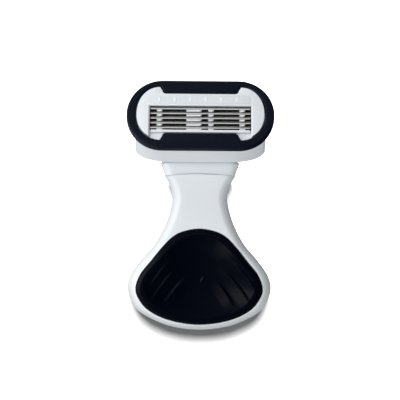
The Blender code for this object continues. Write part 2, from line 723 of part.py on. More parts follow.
def build_docking_nose():
    """Block that fills the neck's end, with the nose that carries the refill and its bore."""
    inset = HANDLE_WALL + FIT_GAP
    block = as_part(casing("docking_nose", front_rise, FRONT_EDGE, 1, inset=inset), GREY_MOULDING)
    wide, above = BULB_WIDTH / 2, SEAM_HEIGHT + FRONT_RISE
    keep = box("nose_block", (-wide, NOSE_ROOT_Y, 0), (wide, HANDLE_END + CUT_OVERRUN, above))
    combine(block, keep, "INTERSECT")
    half = NOSE_WIDTH / 2
    start = NOSE_ROOT_Y + FIT_GAP
    nose = box("nose_bar", (-half, start, NOSE_BOTTOM), (half, NOSE_END, NOSE_TOP))
    combine(block, nose, "UNION")
    bore = rod(
        "plunger_bore", (0, BORE_FLOOR_Y, PLUNGER_HEIGHT),
        (0, NOSE_END + CUT_OVERRUN, PLUNGER_HEIGHT), BORE_RADIUS,
    )
    return combine(block, bore, "DIFFERENCE")


def build_release_button():
    """Slider in the back shell: a grooved finger face, a flange inside and a post."""
    half_x, half_y = BUTTON_WIDTH / 2, BUTTON_LENGTH / 2
    flange_low = HANDLE_WALL + FIT_GAP
    flange_high = flange_low + BUTTON_FLANGE_THICKNESS
    button = as_part(
        box("release_button", (-half_x, -half_y, BUTTON_RECESS), (half_x, half_y, flange_high)),
        GREY_MOULDING,
    )
    reach = BUTTON_FLANGE
    flange = box(
        "button_flange", (-half_x - reach, -half_y - reach, flange_low),
        (half_x + reach, half_y + reach, flange_high),
    )
    combine(button, flange, "UNION")
    stub = BUTTON_POST / 2
    post = box("button_post", (-stub, -stub, flange_low), (stub, stub, EJECTOR_TOP))
    combine(button, post, "UNION")
    for number in range(BUTTON_GROOVES):
        y = (number - (BUTTON_GROOVES - 1) / 2) * BUTTON_LENGTH / (BUTTON_GROOVES + 1)
        groove = box(
            f"button_groove_{number}",
            (-half_x - CUT_OVERRUN, y - BUTTON_GROOVE_WIDTH / 2, 0),
            (half_x + CUT_OVERRUN, y + BUTTON_GROOVE_WIDTH / 2, BUTTON_RECESS + BUTTON_GROOVE_DEPTH),
        )
        combine(button, groove, "DIFFERENCE")
    return button


def build_ejector():
    """Bar from the button's post to the back of the collar, with a lug for its spring."""
    half = EJECTOR_WIDTH / 2
    front = LUG_Y - BUTTON_Y
    bar = as_part(
        box(
            "ejector", (-half, front - EJECTOR_LUG_THICKNESS - EJECTOR_HEEL, EJECTOR_HEIGHT),
            (half, EJECTOR_TIP_Y - BUTTON_Y, EJECTOR_TOP),
        ),
        GREY_MOULDING,
    )
    hole = BUTTON_POST / 2 + FIT_GAP
    cut = box(
        "ejector_hole", (-hole, -hole, EJECTOR_HEIGHT - CUT_OVERRUN),
        (hole, hole, EJECTOR_TOP + CUT_OVERRUN),
    )
    combine(bar, cut, "DIFFERENCE")
    lug_half = EJECTOR_LUG_WIDTH / 2
    lug = box(
        "ejector_lug", (-lug_half, front - EJECTOR_LUG_THICKNESS, EJECTOR_HEIGHT),
        (lug_half, front, EJECTOR_LUG_TOP),
    )
    return combine(bar, lug, "UNION")


def helix(name, start_y, end_y, height, radius, wire, turns):
    """A coil spring along Y as one unbroken tube."""
    curve = bpy.data.curves.new(name, "CURVE")
    curve.dimensions = "3D"
    curve.bevel_depth = wire
    curve.bevel_resolution = 1
    curve.use_fill_caps = True
    spline = curve.splines.new("POLY")
    count = turns * CURL_POINTS
    spline.points.add(count)
    for step, point in enumerate(spline.points):
        angle = 2 * math.pi * step / CURL_POINTS
        y = start_y + wire + (end_y - start_y - 2 * wire) * step / count
        point.co = (radius * math.cos(angle), y, height + radius * math.sin(angle), 1)
    return as_part(mesh_of_curve(curve, name, Matrix.Identity(4)), SPRING_STEEL)


def rounded_rectangle(low, high, radius, steps, stretch=1.0):
    """An anticlockwise rectangle as points, with round corners that may be stretched along X."""
    points = []
    wide = radius * stretch
    corners = (
        (high[0] - wide, high[1] - radius, 0), (low[0] + wide, high[1] - radius, 1),
        (low[0] + wide, low[1] + radius, 2), (high[0] - wide, low[1] + radius, 3),
    )
    for x, y, quarter in corners:
        for step in range(steps + 1):
            angle = math.pi / 2 * (quarter + step / steps)
            points.append((x + wide * math.cos(angle), y + radius * math.sin(angle)))
    return points


def arm_outline():
    """Side view of an arm: a root in the collar, a knee under the tray's wall and a round eye."""
    root = COLLAR_END - COLLAR_LENGTH / 3
    knee = COLLAR_END + ARM_KNEE
    outline = [(root, ARM_ROOT_LOW), (knee, ARM_ROOT_LOW)]
    for step in range(ARM_EYE_STEPS + 1):
        angle = ARM_EYE_START + (ARM_EYE_FINISH - ARM_EYE_START) * step / ARM_EYE_STEPS
        outline.append((
            PIVOT.y + ARM_EYE_RADIUS * math.cos(angle),
            PIVOT.z + ARM_EYE_RADIUS * math.sin(angle),
        ))
    return outline + [(PIVOT.y - ARM_EYE_RADIUS, PIVOT.z), (knee, ARM_ROOT_HIGH), (root, ARM_ROOT_HIGH)]


def build_connector():
    """White collar that closes the neck, with two arms and the trunnions the tray turns on."""
    sections = []
    for place, width in COLLAR_SECTION_SHARES:
        half = width * COLLAR_WIDTH / 2
        y = COLLAR_START + place * COLLAR_LENGTH
        low, high = (-half, COLLAR_BOTTOM), (half, COLLAR_TOP)
        ring = rounded_rectangle(low, high, COLLAR_CORNER, CORNER_STEPS)
        sections.append([(x, y, z) for x, z in ring])
    connector = as_part(loft("connector", sections), WHITE_FRAME)
    for hand in (1, -1):
        side = "right" if hand > 0 else "left"
        low, high = sorted((hand * ARM_INSIDE, hand * ARM_OUTSIDE))
        combine(connector, side_plate(f"arm_{side}", arm_outline(), low, high), "UNION")
        inner = (hand * (ARM_INSIDE + ARM_THICKNESS / 2), PIVOT.y, PIVOT.z)
        outer = (hand * (ARM_OUTSIDE + TRUNNION_LENGTH), PIVOT.y, PIVOT.z)
        combine(connector, rod(f"trunnion_{side}", inner, outer, TRUNNION_RADIUS), "UNION")
    half = NOSE_WIDTH / 2 + FIT_GAP
    hollow = box(
        "nose_hole", (-half, COLLAR_START - CUT_OVERRUN, NOSE_BOTTOM - FIT_GAP),
        (half, COLLAR_END + CUT_OVERRUN, NOSE_TOP + FIT_GAP),
    )
    return combine(connector, hollow, "DIFFERENCE")


def rounded_end(half_width, half_height, straight, power, steps):
    """Quarter of an oval: from its top, round the right end, to its right side."""
    points = []
    for step in range(steps + 1):
        angle = math.pi / 2 * (1 - step / steps)
        points.append((
            straight + (half_width - straight) * math.cos(angle) ** (2 / power),
            half_height * math.sin(angle) ** (2 / power),
        ))
    return points


def four_quarters(upper, lower):
    """An anticlockwise outline from two clockwise quarters that run from the middle to the right side."""
    points = list(reversed(upper)) + [(-x, y) for x, y in upper]
    points += [(-x, -y) for x, y in reversed(lower)] + [(x, -y) for x, y in lower]
    outline = []
    for point in points:
        if not outline or (Vector(point) - Vector(outline[-1])).length > WELD_DISTANCE:
            outline.append(point)
    if (Vector(outline[0]) - Vector(outline[-1])).length <= WELD_DISTANCE:
        outline.pop()
    return outline


def ring_outline():
    """Outer outline of the comfort ring."""
    quarter = rounded_end(RING_WIDTH / 2, RING_HEIGHT / 2, RING_STRAIGHT / 2, RING_POWER, END_STEPS)
    return four_quarters(quarter, quarter)


def opening_quarter(bar_edge, notch_edge, inset):
    """Quarter of the ring's opening: round a bar's end, round the notch and on to the right side."""
    bar_x, bar_u = BAR_LENGTH / 2 + inset, bar_edge - inset
    start, top = OPENING_STRAIGHT / 2 + inset, notch_edge - inset
    bar_corner, notch_corner = BAR_ROUNDING + inset, NOTCH_ROUNDING - inset
    points = []
    for step in range(CORNER_STEPS + 1):
        angle = math.pi / 2 * (1 - step / CORNER_STEPS)
        across, down = bar_corner * (1 - math.cos(angle)), bar_corner * (1 - math.sin(angle))
        points.append((bar_x - across, bar_u + down))
    for step in range(CORNER_STEPS + 1):
        angle = math.pi / 2 * step / CORNER_STEPS
        across, down = notch_corner * (1 - math.cos(angle)), notch_corner * (1 - math.sin(angle))
        points.append((start + across, top - down))
    end = rounded_end(OPENING_WIDTH / 2 - inset, top, start, OPENING_POWER, END_STEPS)
    return points + [point for point in end if point[0] > start + notch_corner]


def opening_outline(inset):
    """Opening of the comfort ring, with its two bars and four notches, made smaller by an inset."""
    upper = opening_quarter(CAP_BAR_EDGE, CAP_NOTCH_EDGE, inset)
    lower = opening_quarter(GUARD_BAR_EDGE, GUARD_NOTCH_EDGE, inset)
    return four_quarters(upper, lower)


def in_head(item):
    """Hang a piece drawn in the head's frame on the pivot's empty."""
    item.parent = PIVOT_EMPTY
    item.location = (0, -PIVOT_U, -PIVOT_W)
    return item


def build_comfort_ring():
    """Dark elastomer ring round the face, with a bar above and below it."""
    outlines = [ring_outline(), opening_outline(0.0)]
    ring = plate("comfort_ring", outlines, -RING_THICKNESS, 0, RING_ROUNDING)
    return in_head(as_part(ring, NAVY_RING))


def build_face_cover():
    """White U-shaped frame over the tray: a cap above the blades and a wing at each end."""
    cover = as_part(plate("face_cover", [opening_outline(FIT_GAP)], -COVER_THICKNESS, 0), WHITE_FRAME)
    half = WINDOW_WIDTH / 2
    below = -RING_HEIGHT / 2
    window = box("window_cut", (-half, below, -TRAY_TOP), (half, WINDOW_TOP, CUT_OVERRUN))
    combine(cover, window, "DIFFERENCE")
    half_bay = BAY_LENGTH / 2
    relief = box(
        "cover_relief", (-half_bay, -GUARD_EDGE, -TRAY_TOP),
        (half_bay, WINDOW_TOP + CUT_OVERRUN / 2, COVER_RELIEF - COVER_THICKNESS),
    )
    combine(cover, relief, "DIFFERENCE")
    strip = box(
        "strip_cut", (-half - FIT_GAP, STRIP_LOW - FIT_GAP, -TRAY_TOP),
        (half + FIT_GAP, STRIP_HIGH + FIT_GAP, CUT_OVERRUN),
    )
    combine(cover, strip, "DIFFERENCE")
    return in_head(cover)


def build_glide_strip():
    """Pale strip set in the cap, with a row of small pips."""
    half = WINDOW_WIDTH / 2
    outline = rounded_rectangle((-half, STRIP_LOW), (half, STRIP_HIGH), BAR_ROUNDING, CORNER_STEPS)
    strip = as_part(plate("glide_strip", [outline], -COVER_THICKNESS, STRIP_PROUD), PALE_STRIP)
    middle = (STRIP_LOW + STRIP_HIGH) / 2
    for number in range(PIP_COUNT):
        x = (number - (PIP_COUNT - 1) / 2) * PIP_PITCH_SHARE * WINDOW_WIDTH
        pip = box(
            f"pip_{number}", (x - PIP_WIDTH / 2, middle - PIP_LENGTH / 2, -COVER_THICKNESS / 2),
            (x + PIP_WIDTH / 2, middle + PIP_LENGTH / 2, STRIP_PROUD + PIP_HEIGHT),
        )
        combine(strip, pip, "UNION")
    return in_head(strip)


BLADE_ALONG = Vector((math.cos(BLADE_TILT), -math.sin(BLADE_TILT)))
BLADE_UNDER = Vector((-math.sin(BLADE_TILT), -math.cos(BLADE_TILT)))


def blade_edge(number):
    """Place of a blade's cutting edge in the head's frame, counted from the cap."""
    return Vector((BLADE_TOP_EDGE - number * BLADE_PITCH, -BLADE_SINK))


def web_outline():
    """A web across the blade bay with a tooth in front of each blade's support."""
    low, high = -GUARD_EDGE - CUT_OVERRUN, BAY_TOP + CUT_OVERRUN
    leg = (BLADE_ALONG * SUPPORT_REACH + BLADE_UNDER * (BLADE_THICKNESS + BLADE_SEAT_GAP)).x
    tooth_back = BLADE_PITCH - leg - BLADE_SEAT_GAP
    outline = [(low, -WEB_DEPTH), (high, -WEB_DEPTH), (high, -BAY_FLOOR)]
    for number in range(BLADE_COUNT):
        edge = blade_edge(number).x
        outline += [(edge + TOOTH_FRONT, -BAY_FLOOR), (edge + TOOTH_FRONT, -TOOTH_TOP)]
        outline += [(edge - tooth_back, -TOOTH_TOP), (edge - tooth_back, -BAY_FLOOR)]
    return outline + [(low, -BAY_FLOOR)]


def cam_outline():
    """Side view of the cam rib: its face keeps the plunger's push at one arm from the pivot."""
    outline = []
    for step in range(CAM_STEPS + 1):
        turn = PIVOT_RANGE * step / CAM_STEPS
        reach = -PLUNGER_CONTACT - PLUNGER_ARM * turn
        y = reach * math.cos(turn) + PLUNGER_ARM * math.sin(turn)
        z = reach * math.sin(turn) - PLUNGER_ARM * math.cos(turn)
        outline.append(Vector((0, y, z)))
    last = outline[-1]
    outline.append(last + Vector((0, CAM_THICKNESS, 0)))
    ceiling = -RINSE_FLOOR - PIVOT_W + CUT_OVERRUN / 2
    for u in (CAM_THICKNESS, -CAM_THICKNESS / 2):
        outline.append(TILT @ Vector((0, u + CUT_OVERRUN, ceiling)))
    outline.append(Vector((0, -PLUNGER_CONTACT, -PLUNGER_ARM / 2)))
    flat = [TILT.inverted() @ point for point in outline]
    return [(point.y + PIVOT_U, point.z + PIVOT_W) for point in flat]


def tray_sections():
    """Rings of points down the tray, from under the comfort ring to its back."""
    rows = (
        (TRAY_TOP, 0.0, TRAY_CORNER, TRAY_CORNER_STRETCH),
        (TRAY_DEPTH - 2 * TRAY_BACK_ROUNDING, 0.0, TRAY_BACK_CORNER, TRAY_BACK_CORNER_STRETCH),
        (
            TRAY_DEPTH - TRAY_BACK_ROUNDING / 3, TRAY_BACK_ROUNDING / 3, TRAY_BACK_CORNER,
            TRAY_BACK_CORNER_STRETCH,
        ),
        (TRAY_DEPTH, TRAY_BACK_ROUNDING, TRAY_BACK_CORNER, TRAY_BACK_CORNER_STRETCH),
    )
    for depth, inset, corner, stretch in rows:
        half_x, half_u = TRAY_WIDTH / 2 - inset, TRAY_HEIGHT / 2 - inset
        low, high = (-half_x, -half_u), (half_x, half_u)
        ring = rounded_rectangle(low, high, corner, CORNER_STEPS + 3, stretch)
        yield [(x, u, -depth) for x, u in ring]


def build_tray():
    """White tray behind the face: blade bay, webs, guard bar, trunnion sockets and cam."""
    tray = as_part(loft("cartridge_tray", list(tray_sections())), WHITE_FRAME)
    island = plate("tray_island", [opening_outline(FIT_GAP)], -TRAY_TOP - CUT_OVERRUN, -ISLAND_TOP)
    combine(tray, island, "UNION")
    half = WINDOW_WIDTH / 2 - FIT_GAP
    guard_low = -GUARD_EDGE - GUARD_WIDTH
    guard = box("guard_bar", (-half, guard_low, -TRAY_TOP), (half, -GUARD_EDGE, -GUARD_TOP))
    combine(tray, guard, "UNION")
    half_bay = BAY_LENGTH / 2
    bay = box("blade_bay", (-half_bay, -GUARD_EDGE, -BAY_FLOOR), (half_bay, BAY_TOP, CUT_OVERRUN))
    combine(tray, bay, "DIFFERENCE")
    half_rinse = WINDOW_WIDTH / 2
    rinse = box(
        "rinse_bay", (-half_rinse, -GUARD_EDGE, -RINSE_FLOOR - CUT_OVERRUN / 2),
        (half_rinse, BAY_TOP, -BAY_FLOOR + CUT_OVERRUN / 2),
    )
    combine(tray, rinse, "DIFFERENCE")
    pocket = box(
        "rear_pocket", (-POCKET_HALF, POCKET_LOW, -TRAY_DEPTH - CUT_OVERRUN),
        (POCKET_HALF, POCKET_HIGH, -RINSE_FLOOR),
    )
    combine(tray, pocket, "DIFFERENCE")
    depth = TRUNNION_LENGTH + FIT_GAP
    for hand in (1, -1):
        side = "right" if hand > 0 else "left"
        inner = (hand * (POCKET_HALF - CUT_OVERRUN), PIVOT_U, PIVOT_W)
        outer = (hand * (ARM_OUTSIDE + depth), PIVOT_U, PIVOT_W)
        bore = rod(f"trunnion_socket_{side}", inner, outer, TRUNNION_RADIUS + FIT_GAP)
        combine(tray, bore, "DIFFERENCE")
    for number, (place, width) in enumerate(WEB_PLACE_SHARES):
        x, half_web = place * WINDOW_WIDTH, width * WEB_WIDTH / 2
        web = side_plate(f"tray_web_{number}", web_outline(), x - half_web, x + half_web)
        combine(tray, web, "UNION")
    cam = side_plate("tray_cam", cam_outline(), -CAM_WIDTH / 2, CAM_WIDTH / 2)
    combine(tray, cam, "UNION")
    return in_head(tray)


def build_blades():
    """Five steel blades, each on a bent support that stands in the tray's bay."""
    along, under = BLADE_ALONG, BLADE_UNDER
    blade_half = WINDOW_WIDTH / 2 - BLADE_END_GAP
    support_half = BAY_LENGTH / 2 - FIT_GAP
    foot = BLADE_END_GAP - BAY_FLOOR
    for number in range(BLADE_COUNT):
        edge = blade_edge(number)
        back = edge + along * BLADE_WIDTH
        belly = under * BLADE_THICKNESS
        section = [edge, edge + along * BLADE_BEVEL + belly, back + belly, back]
        blade = side_plate(f"blade_{number + 1}", section, -blade_half, blade_half)
        in_head(as_part(blade, BLADE_STEEL))
        seat = under * (BLADE_THICKNESS + BLADE_SEAT_GAP)
        start = edge + along * SUPPORT_SETBACK + seat
        bend = edge + along * SUPPORT_REACH + seat
        thick = under * SUPPORT_THICKNESS
        inside = bend.x - SUPPORT_THICKNESS
        turn = start + thick + along * ((inside - (start + thick).x) / along.x)
        section = [start, start + thick, turn, (inside, foot), (bend.x, foot), bend]
        support = side_plate(f"blade_support_{number + 1}", section, -support_half, support_half)
        in_head(as_part(support, BLADE_STEEL))


def joint_empty(name, location, turn=0.0):
    """An empty on a joint's axis, which carries the pieces that the joint moves."""
    empty = bpy.data.objects.new(name, None)
    bpy.context.scene.collection.objects.link(empty)
    empty.location = location
    empty.rotation_euler = (turn, 0, 0)
    return empty


def hang(item, empty):
    """Parent a piece drawn about the world's origin to an empty, and leave it where it is."""
    item.parent = empty
    item.matrix_parent_inverse = Matrix.Translation(empty.location).inverted()
    return item


def cut_at_empty(item, empty):
    """Carry a piece's hidden tools on the same empty, where the piece is drawn about it."""
    item.parent = empty
    for change in item.modifiers:
        change.object.parent = empty
    return item


PIVOT_EMPTY = joint_empty("cartridge_pivot", PIVOT, -HEAD_TILT)
DOCK_EMPTY = joint_empty("connector_dock", (0, COLLAR_START, PLUNGER_HEIGHT))
RELEASE_EMPTY = joint_empty("release_slide", (0, BUTTON_Y, 0))
PLUNGER_EMPTY = joint_empty("plunger_slide", (0, PLUNGER_TIP_Y, PLUNGER_HEIGHT))


def carry_head_tools():
    """Carry the tools of the head's pieces on the pivot's empty, as the pieces are."""
    for item in list(PARTS.objects):
        if item.parent == PIVOT_EMPTY:
            for change in item.modifiers:
                in_head(change.object)


build_front_shell()
build_back_shell()
build_grip_pad()
build_docking_nose()
cut_at_empty(build_release_button(), RELEASE_EMPTY)
cut_at_empty(build_ejector(), RELEASE_EMPTY)
helix(
    "button_spring", LUG_Y + FIT_GAP, NOSE_ROOT_Y - FIT_GAP, BUTTON_SPRING_HEIGHT,
    BUTTON_SPRING_RADIUS, BUTTON_WIRE_RADIUS, BUTTON_TURNS,
)
SPRING_START = BORE_FLOOR_Y + FIT_GAP
helix(
    "plunger_spring", SPRING_START, SPRING_START + PLUNGER_SPRING_LENGTH, PLUNGER_HEIGHT,
    PLUNGER_SPRING_RADIUS, PLUNGER_WIRE_RADIUS, PLUNGER_TURNS,
)
PLUNGER_BACK_Y = SPRING_START + PLUNGER_SPRING_LENGTH + FIT_GAP
plunger = rod(
    "plunger", (0, PLUNGER_BACK_Y, PLUNGER_HEIGHT), (0, PLUNGER_TIP_Y, PLUNGER_HEIGHT), PLUNGER_RADIUS
)
hang(as_part(plunger, GREY_MOULDING), PLUNGER_EMPTY)
hang(build_connector(), DOCK_EMPTY)
build_tray()
build_face_cover()
build_comfort_ring()
build_glide_strip()
build_blades()
carry_head_tools()
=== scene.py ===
"""Compact five-blade body razor, dressed as it looks in a plain studio photograph.

The razor lies on its back: X runs across, +Y from the handle's tail to the head, and +Z up to the blades.
Pieces of the head are drawn in the head's own frame: X across, u up the face to the cap, and w out of it.
"""

import json
import math

import bmesh
import bpy
from mathutils import Matrix, Vector


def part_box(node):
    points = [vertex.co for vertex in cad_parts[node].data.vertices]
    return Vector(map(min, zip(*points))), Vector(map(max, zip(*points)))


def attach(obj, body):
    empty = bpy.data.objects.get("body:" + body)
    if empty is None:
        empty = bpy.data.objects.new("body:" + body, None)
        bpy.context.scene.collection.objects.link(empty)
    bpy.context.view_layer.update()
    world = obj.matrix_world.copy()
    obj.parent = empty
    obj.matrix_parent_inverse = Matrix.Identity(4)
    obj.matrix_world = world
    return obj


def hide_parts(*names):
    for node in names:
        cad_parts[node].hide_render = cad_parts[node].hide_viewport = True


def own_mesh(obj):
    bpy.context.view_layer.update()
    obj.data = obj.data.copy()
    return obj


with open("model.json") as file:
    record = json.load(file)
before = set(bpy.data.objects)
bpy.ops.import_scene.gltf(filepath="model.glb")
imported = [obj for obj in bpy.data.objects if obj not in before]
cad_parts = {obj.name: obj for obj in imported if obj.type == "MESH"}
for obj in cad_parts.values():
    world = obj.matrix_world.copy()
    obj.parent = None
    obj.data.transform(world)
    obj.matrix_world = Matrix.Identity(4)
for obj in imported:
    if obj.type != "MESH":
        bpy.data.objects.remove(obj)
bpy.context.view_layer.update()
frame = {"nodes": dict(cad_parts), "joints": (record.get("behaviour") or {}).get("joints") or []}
MM = 0.001


# Handle back shell
# The lower half of the handle, hollow, moulded in white ABS in a tool with a fine satin spark finish. It
# lies on the flat land under it, and it is glued to the front half along a seam round the handle.

FIT_GAP = 0.3 * MM
OVERRUN = 1.0 * MM
HANDLE_LENGTH = 52.8 * MM
TAIL_REACH = 27.0 * MM
HANDLE_END = HANDLE_LENGTH - TAIL_REACH
BULB_WIDTH = 48.2 * MM
HANDLE_WALL = 1.8 * MM
SEAM_GAP = 0.12 * MM
SEAM_HEIGHT = 8.0 * MM
BACK_EDGE = 5.5 * MM
BULB_CENTRE_SHARE = 0.265
CENTRE_PULL_SHARE = 0.25
# Place along the handle and width there, as shares of its length and of the bulb's width
HANDLE_OUTLINE_SHARES = (
    (0.0, 0.0), (0.0125, 0.300), (0.047, 0.565), (0.125, 0.871), (0.235, 0.998), (0.335, 0.980),
    (0.44, 0.830), (0.55, 0.627), (0.68, 0.476), (0.80, 0.397), (0.87, 0.388), (0.94, 0.436),
    (1.0, 0.496),
)
BACK_DEPTH_SHARES = ((0.0, 1.0), (0.83, 1.0), (0.92, 0.94), (1.0, 0.80))
OUTLINE_STEPS = 10
EDGE_STEPS = 14
FLAT_STEPS = 4
SMOOTH_ANGLE = math.radians(28)
POST_X = 13.0 * MM
POST_TAIL_DISTANCE = 15.0 * MM
POST_RADIUS = 1.5 * MM
POST_FOOT = 3.0 * MM
SOCKET_WALL = 1.2 * MM
SOCKET_TOP = 7.0 * MM
ROUND_SIDES = 40
PARTING_BOW = 1.0 * MM
PARTING_REACH = 3.4 * MM
PARTING_HALF_WIDTH = 13.0 * MM
BUTTON_HALF_WIDTH = 3.4 * MM
BUTTON_HALF_LENGTH = 4.35 * MM
MELT_DRIFT = 14.0 * MM
SPARK_DEPTH = 0.02 * MM
SMOOTHEST, ROUGHEST = -0.05, 0.07
WELD = 0.001 * MM


def linear(code):
    """A colour for a shader from an sRGB hex value."""
    channels = [int(code[place:place + 2], 16) / 255 for place in (0, 2, 4)]
    return (*[c / 12.92 if c <= 0.04045 else ((c + 0.055) / 1.055) ** 2.4 for c in channels], 1.0)


def add_node(owner, kind, settings=None, links=None):
    """Adds a shader node, sets its sockets or its own settings, and links outputs to its sockets.

    A node that is linked as a whole gives the first of its outputs that is in use.
    """
    node = owner.node_tree.nodes.new("ShaderNode" + kind)
    for name, value in (settings or {}).items():
        if isinstance(name, int) or name in node.inputs:
            node.inputs[name].default_value = value
        else:
            setattr(node, name, value)
    for name, source in (links or {}).items():
        if isinstance(source, bpy.types.Node):
            source = next(output for output in source.outputs if output.enabled)
        owner.node_tree.links.new(source, node.inputs[name])
    return node


def new_material(name, base):
    """A material with no nodes yet, and the viewport colour of its base."""
    material = bpy.data.materials.new(name)
    material.use_nodes = True
    material.node_tree.nodes.clear()
    material.diffuse_color = linear(base)
    return material


def end_surface(material, base, shade, tone, gloss, settings, bump=None):
    """Ends a material: a colour between two shades, a gloss that varies, and the finish's own settings."""
    colour = add_node(
        material, "Mix", {"data_type": "RGBA", 6: linear(base), 7: linear(shade)}, {"Factor": tone},
    )
    links = {"Base Color": colour, "Roughness": gloss}
    if bump:
        links["Normal"] = bump
    shader = add_node(material, "BsdfPrincipled", settings, links)
    add_node(material, "OutputMaterial", links={"Surface": shader})
    return material


def moulded_plastic(name, base, shade, grain, roughness, ior, relief):
    """Moulded plastic: a colour that drifts a little, as melt flow leaves it, and the tool's fine grain."""
    material = new_material(name, base)
    place = add_node(material, "TexCoord").outputs["Object"]
    drift = add_node(material, "TexNoise", {"Scale": 1 / MELT_DRIFT, "Detail": 2.0}, {"Vector": place})
    spark = add_node(material, "TexNoise", {"Scale": 1 / grain, "Detail": 3.0}, {"Vector": place})
    gloss = add_node(
        material, "MapRange",
        {"From Min": 0.3, "From Max": 0.7, "To Min": roughness + SMOOTHEST, "To Max": roughness + ROUGHEST},
        {"Value": spark},
    )
    bump = add_node(material, "Bump", {"Strength": relief, "Distance": SPARK_DEPTH}, {"Height": spark})
    return end_surface(material, base, shade, drift, gloss, {"IOR": ior}, bump)


# Satin white ABS: even and bright, with a broad soft highlight and no mirror image
satin_white_abs = moulded_plastic(
    "satin_white_abs", "E7ECEF", "E0E6EA", grain=0.35 * MM, roughness=0.36, ior=1.54, relief=0.12,
)


def joint(name):
    """A joint of the frame by its name."""
    return next(row for row in frame["joints"] if row["name"] == name)


def share_at(shares, place):
    """The value of a table of shares at a place, with no overshoot between its rows."""
    place = min(max(place, shares[0][0]), shares[-1][0])
    index = max(i for i in range(len(shares) - 1) if shares[i][0] <= place)
    secants = [(b[1] - a[1]) / (b[0] - a[0]) for a, b in zip(shares, shares[1:])]
    inner = [2 * a * b / (a + b) if a * b > 0 else 0.0 for a, b in zip(secants, secants[1:])]
    slopes = [secants[0], *inner, secants[-1]]
    run = shares[index + 1][0] - shares[index][0]
    t = (place - shares[index][0]) / run
    return (
        shares[index][1] * (1 + 2 * t) * (1 - t) ** 2 + shares[index + 1][1] * t * t * (3 - 2 * t)
        + run * t * (1 - t) * (slopes[index] * (1 - t) - slopes[index + 1] * t)
    )


def smooth_line(points, before, after, steps):
    """Points on a smooth curve through the given points, which it includes."""
    chain = [Vector(point) for point in (before, *points, after)]
    line = []
    for a, b, c, d in zip(chain, chain[1:], chain[2:], chain[3:]):
        for step in range(steps):
            t = step / steps
            line.append(
                (b * 2 + (c - a) * t + (a * 2 - b * 5 + c * 4 - d) * t ** 2
                 + (b * 3 - a - c * 3 + d) * t ** 3) / 2
            )
    return line + [chain[-2]]


def inset_line(line, distance):
    """An open line moved to its left by a distance, and cut off square where it ends."""
    moved = []
    for index, point in enumerate(line):
        along = line[min(index + 1, len(line) - 1)] - line[max(index - 1, 0)]
        if point.x == 0:
            along.y = 0
        if index == len(line) - 1:
            along.x = 0
        along.normalize()
        moved.append(point + Vector((-along.y, along.x)) * distance)
    end = moved.pop()
    return [point for point in moved if point.y < end.y - FIT_GAP] + [end]


# The right half of the handle's outline, from its tail to its end at the collar
points = [
    Vector((width * BULB_WIDTH / 2, place * HANDLE_LENGTH - TAIL_REACH))
    for place, width in HANDLE_OUTLINE_SHARES
]
mirrored = (-points[1].x, points[1].y)
HANDLE_LINE = smooth_line(points, mirrored, 2 * points[-1] - points[-2], OUTLINE_STEPS)


def add_object(name, data):
    """A new object that is linked to the scene."""
    item = bpy.data.objects.new(name, data)
    bpy.context.scene.collection.objects.link(item)
    return item


def shade_smooth(mesh):
    """Shades a mesh smooth up to its sharp edges."""
    mesh.shade_smooth()
    mesh.set_sharp_from_angle(angle=SMOOTH_ANGLE)


def finished(name, edit, material=None):
    """A piece from a bmesh: welded, faces outwards, and shaded."""
    bmesh.ops.remove_doubles(edit, verts=edit.verts, dist=WELD)
    bmesh.ops.dissolve_degenerate(edit, edges=edit.edges, dist=WELD)
    bmesh.ops.recalc_face_normals(edit, faces=edit.faces)
    mesh = bpy.data.meshes.new(name)
    edit.to_mesh(mesh)
    edit.free()
    if material:
        mesh.materials.append(material)
    shade_smooth(mesh)
    return add_object(name, mesh)


def evaluated_mesh(item):
    """The mesh that an object's modifiers, or its curve, make."""
    bpy.context.view_layer.update()
    evaluated = item.evaluated_get(bpy.context.evaluated_depsgraph_get())
    return bpy.data.meshes.new_from_object(evaluated)


def carve(item, tool, operation="DIFFERENCE"):
    """Cuts a tool from a piece, or joins it on, for good. A tool with no material takes the piece's."""
    if not tool.data.materials:
        for material in item.data.materials:
            tool.data.materials.append(material)
    change = item.modifiers.new("carve", "BOOLEAN")
    change.operation = operation
    change.solver = "EXACT"
    change.material_mode = "TRANSFER"
    change.object = tool
    mesh = evaluated_mesh(item)
    item.modifiers.remove(change)
    item.data = mesh
    mesh.name = item.name
    bpy.data.objects.remove(tool, do_unlink=True)
    shade_smooth(mesh)


def box(name, half_x, ends_y, ends_z, middle_x=0.0):
    """A box with its middle at a place across, and with its ends along Y and Z."""
    low = Vector((middle_x - half_x, ends_y[0], ends_z[0]))
    high = Vector((middle_x + half_x, ends_y[1], ends_z[1]))
    edit = bmesh.new()
    place = Matrix.Translation((low + high) / 2) @ Matrix.Diagonal((*(high - low), 1.0))
    bmesh.ops.create_cube(edit, size=1.0, matrix=place)
    return finished(name, edit)


def rod(name, start, end, radius):
    """A round rod between two points."""
    start, end = Vector(start), Vector(end)
    turn = (end - start).to_track_quat("Z", "Y").to_matrix().to_4x4()
    edit = bmesh.new()
    bmesh.ops.create_cone(
        edit, cap_ends=True, segments=ROUND_SIDES, radius1=radius, radius2=radius,
        depth=(end - start).length, matrix=Matrix.Translation((start + end) / 2) @ turn,
    )
    return finished(name, edit)


def quarter_turn(steps):
    """The cosine and the sine at each step of a quarter turn."""
    angles = [math.pi / 2 * (step / steps) for step in range(steps + 1)]
    return [(math.cos(angle), math.sin(angle)) for angle in angles]


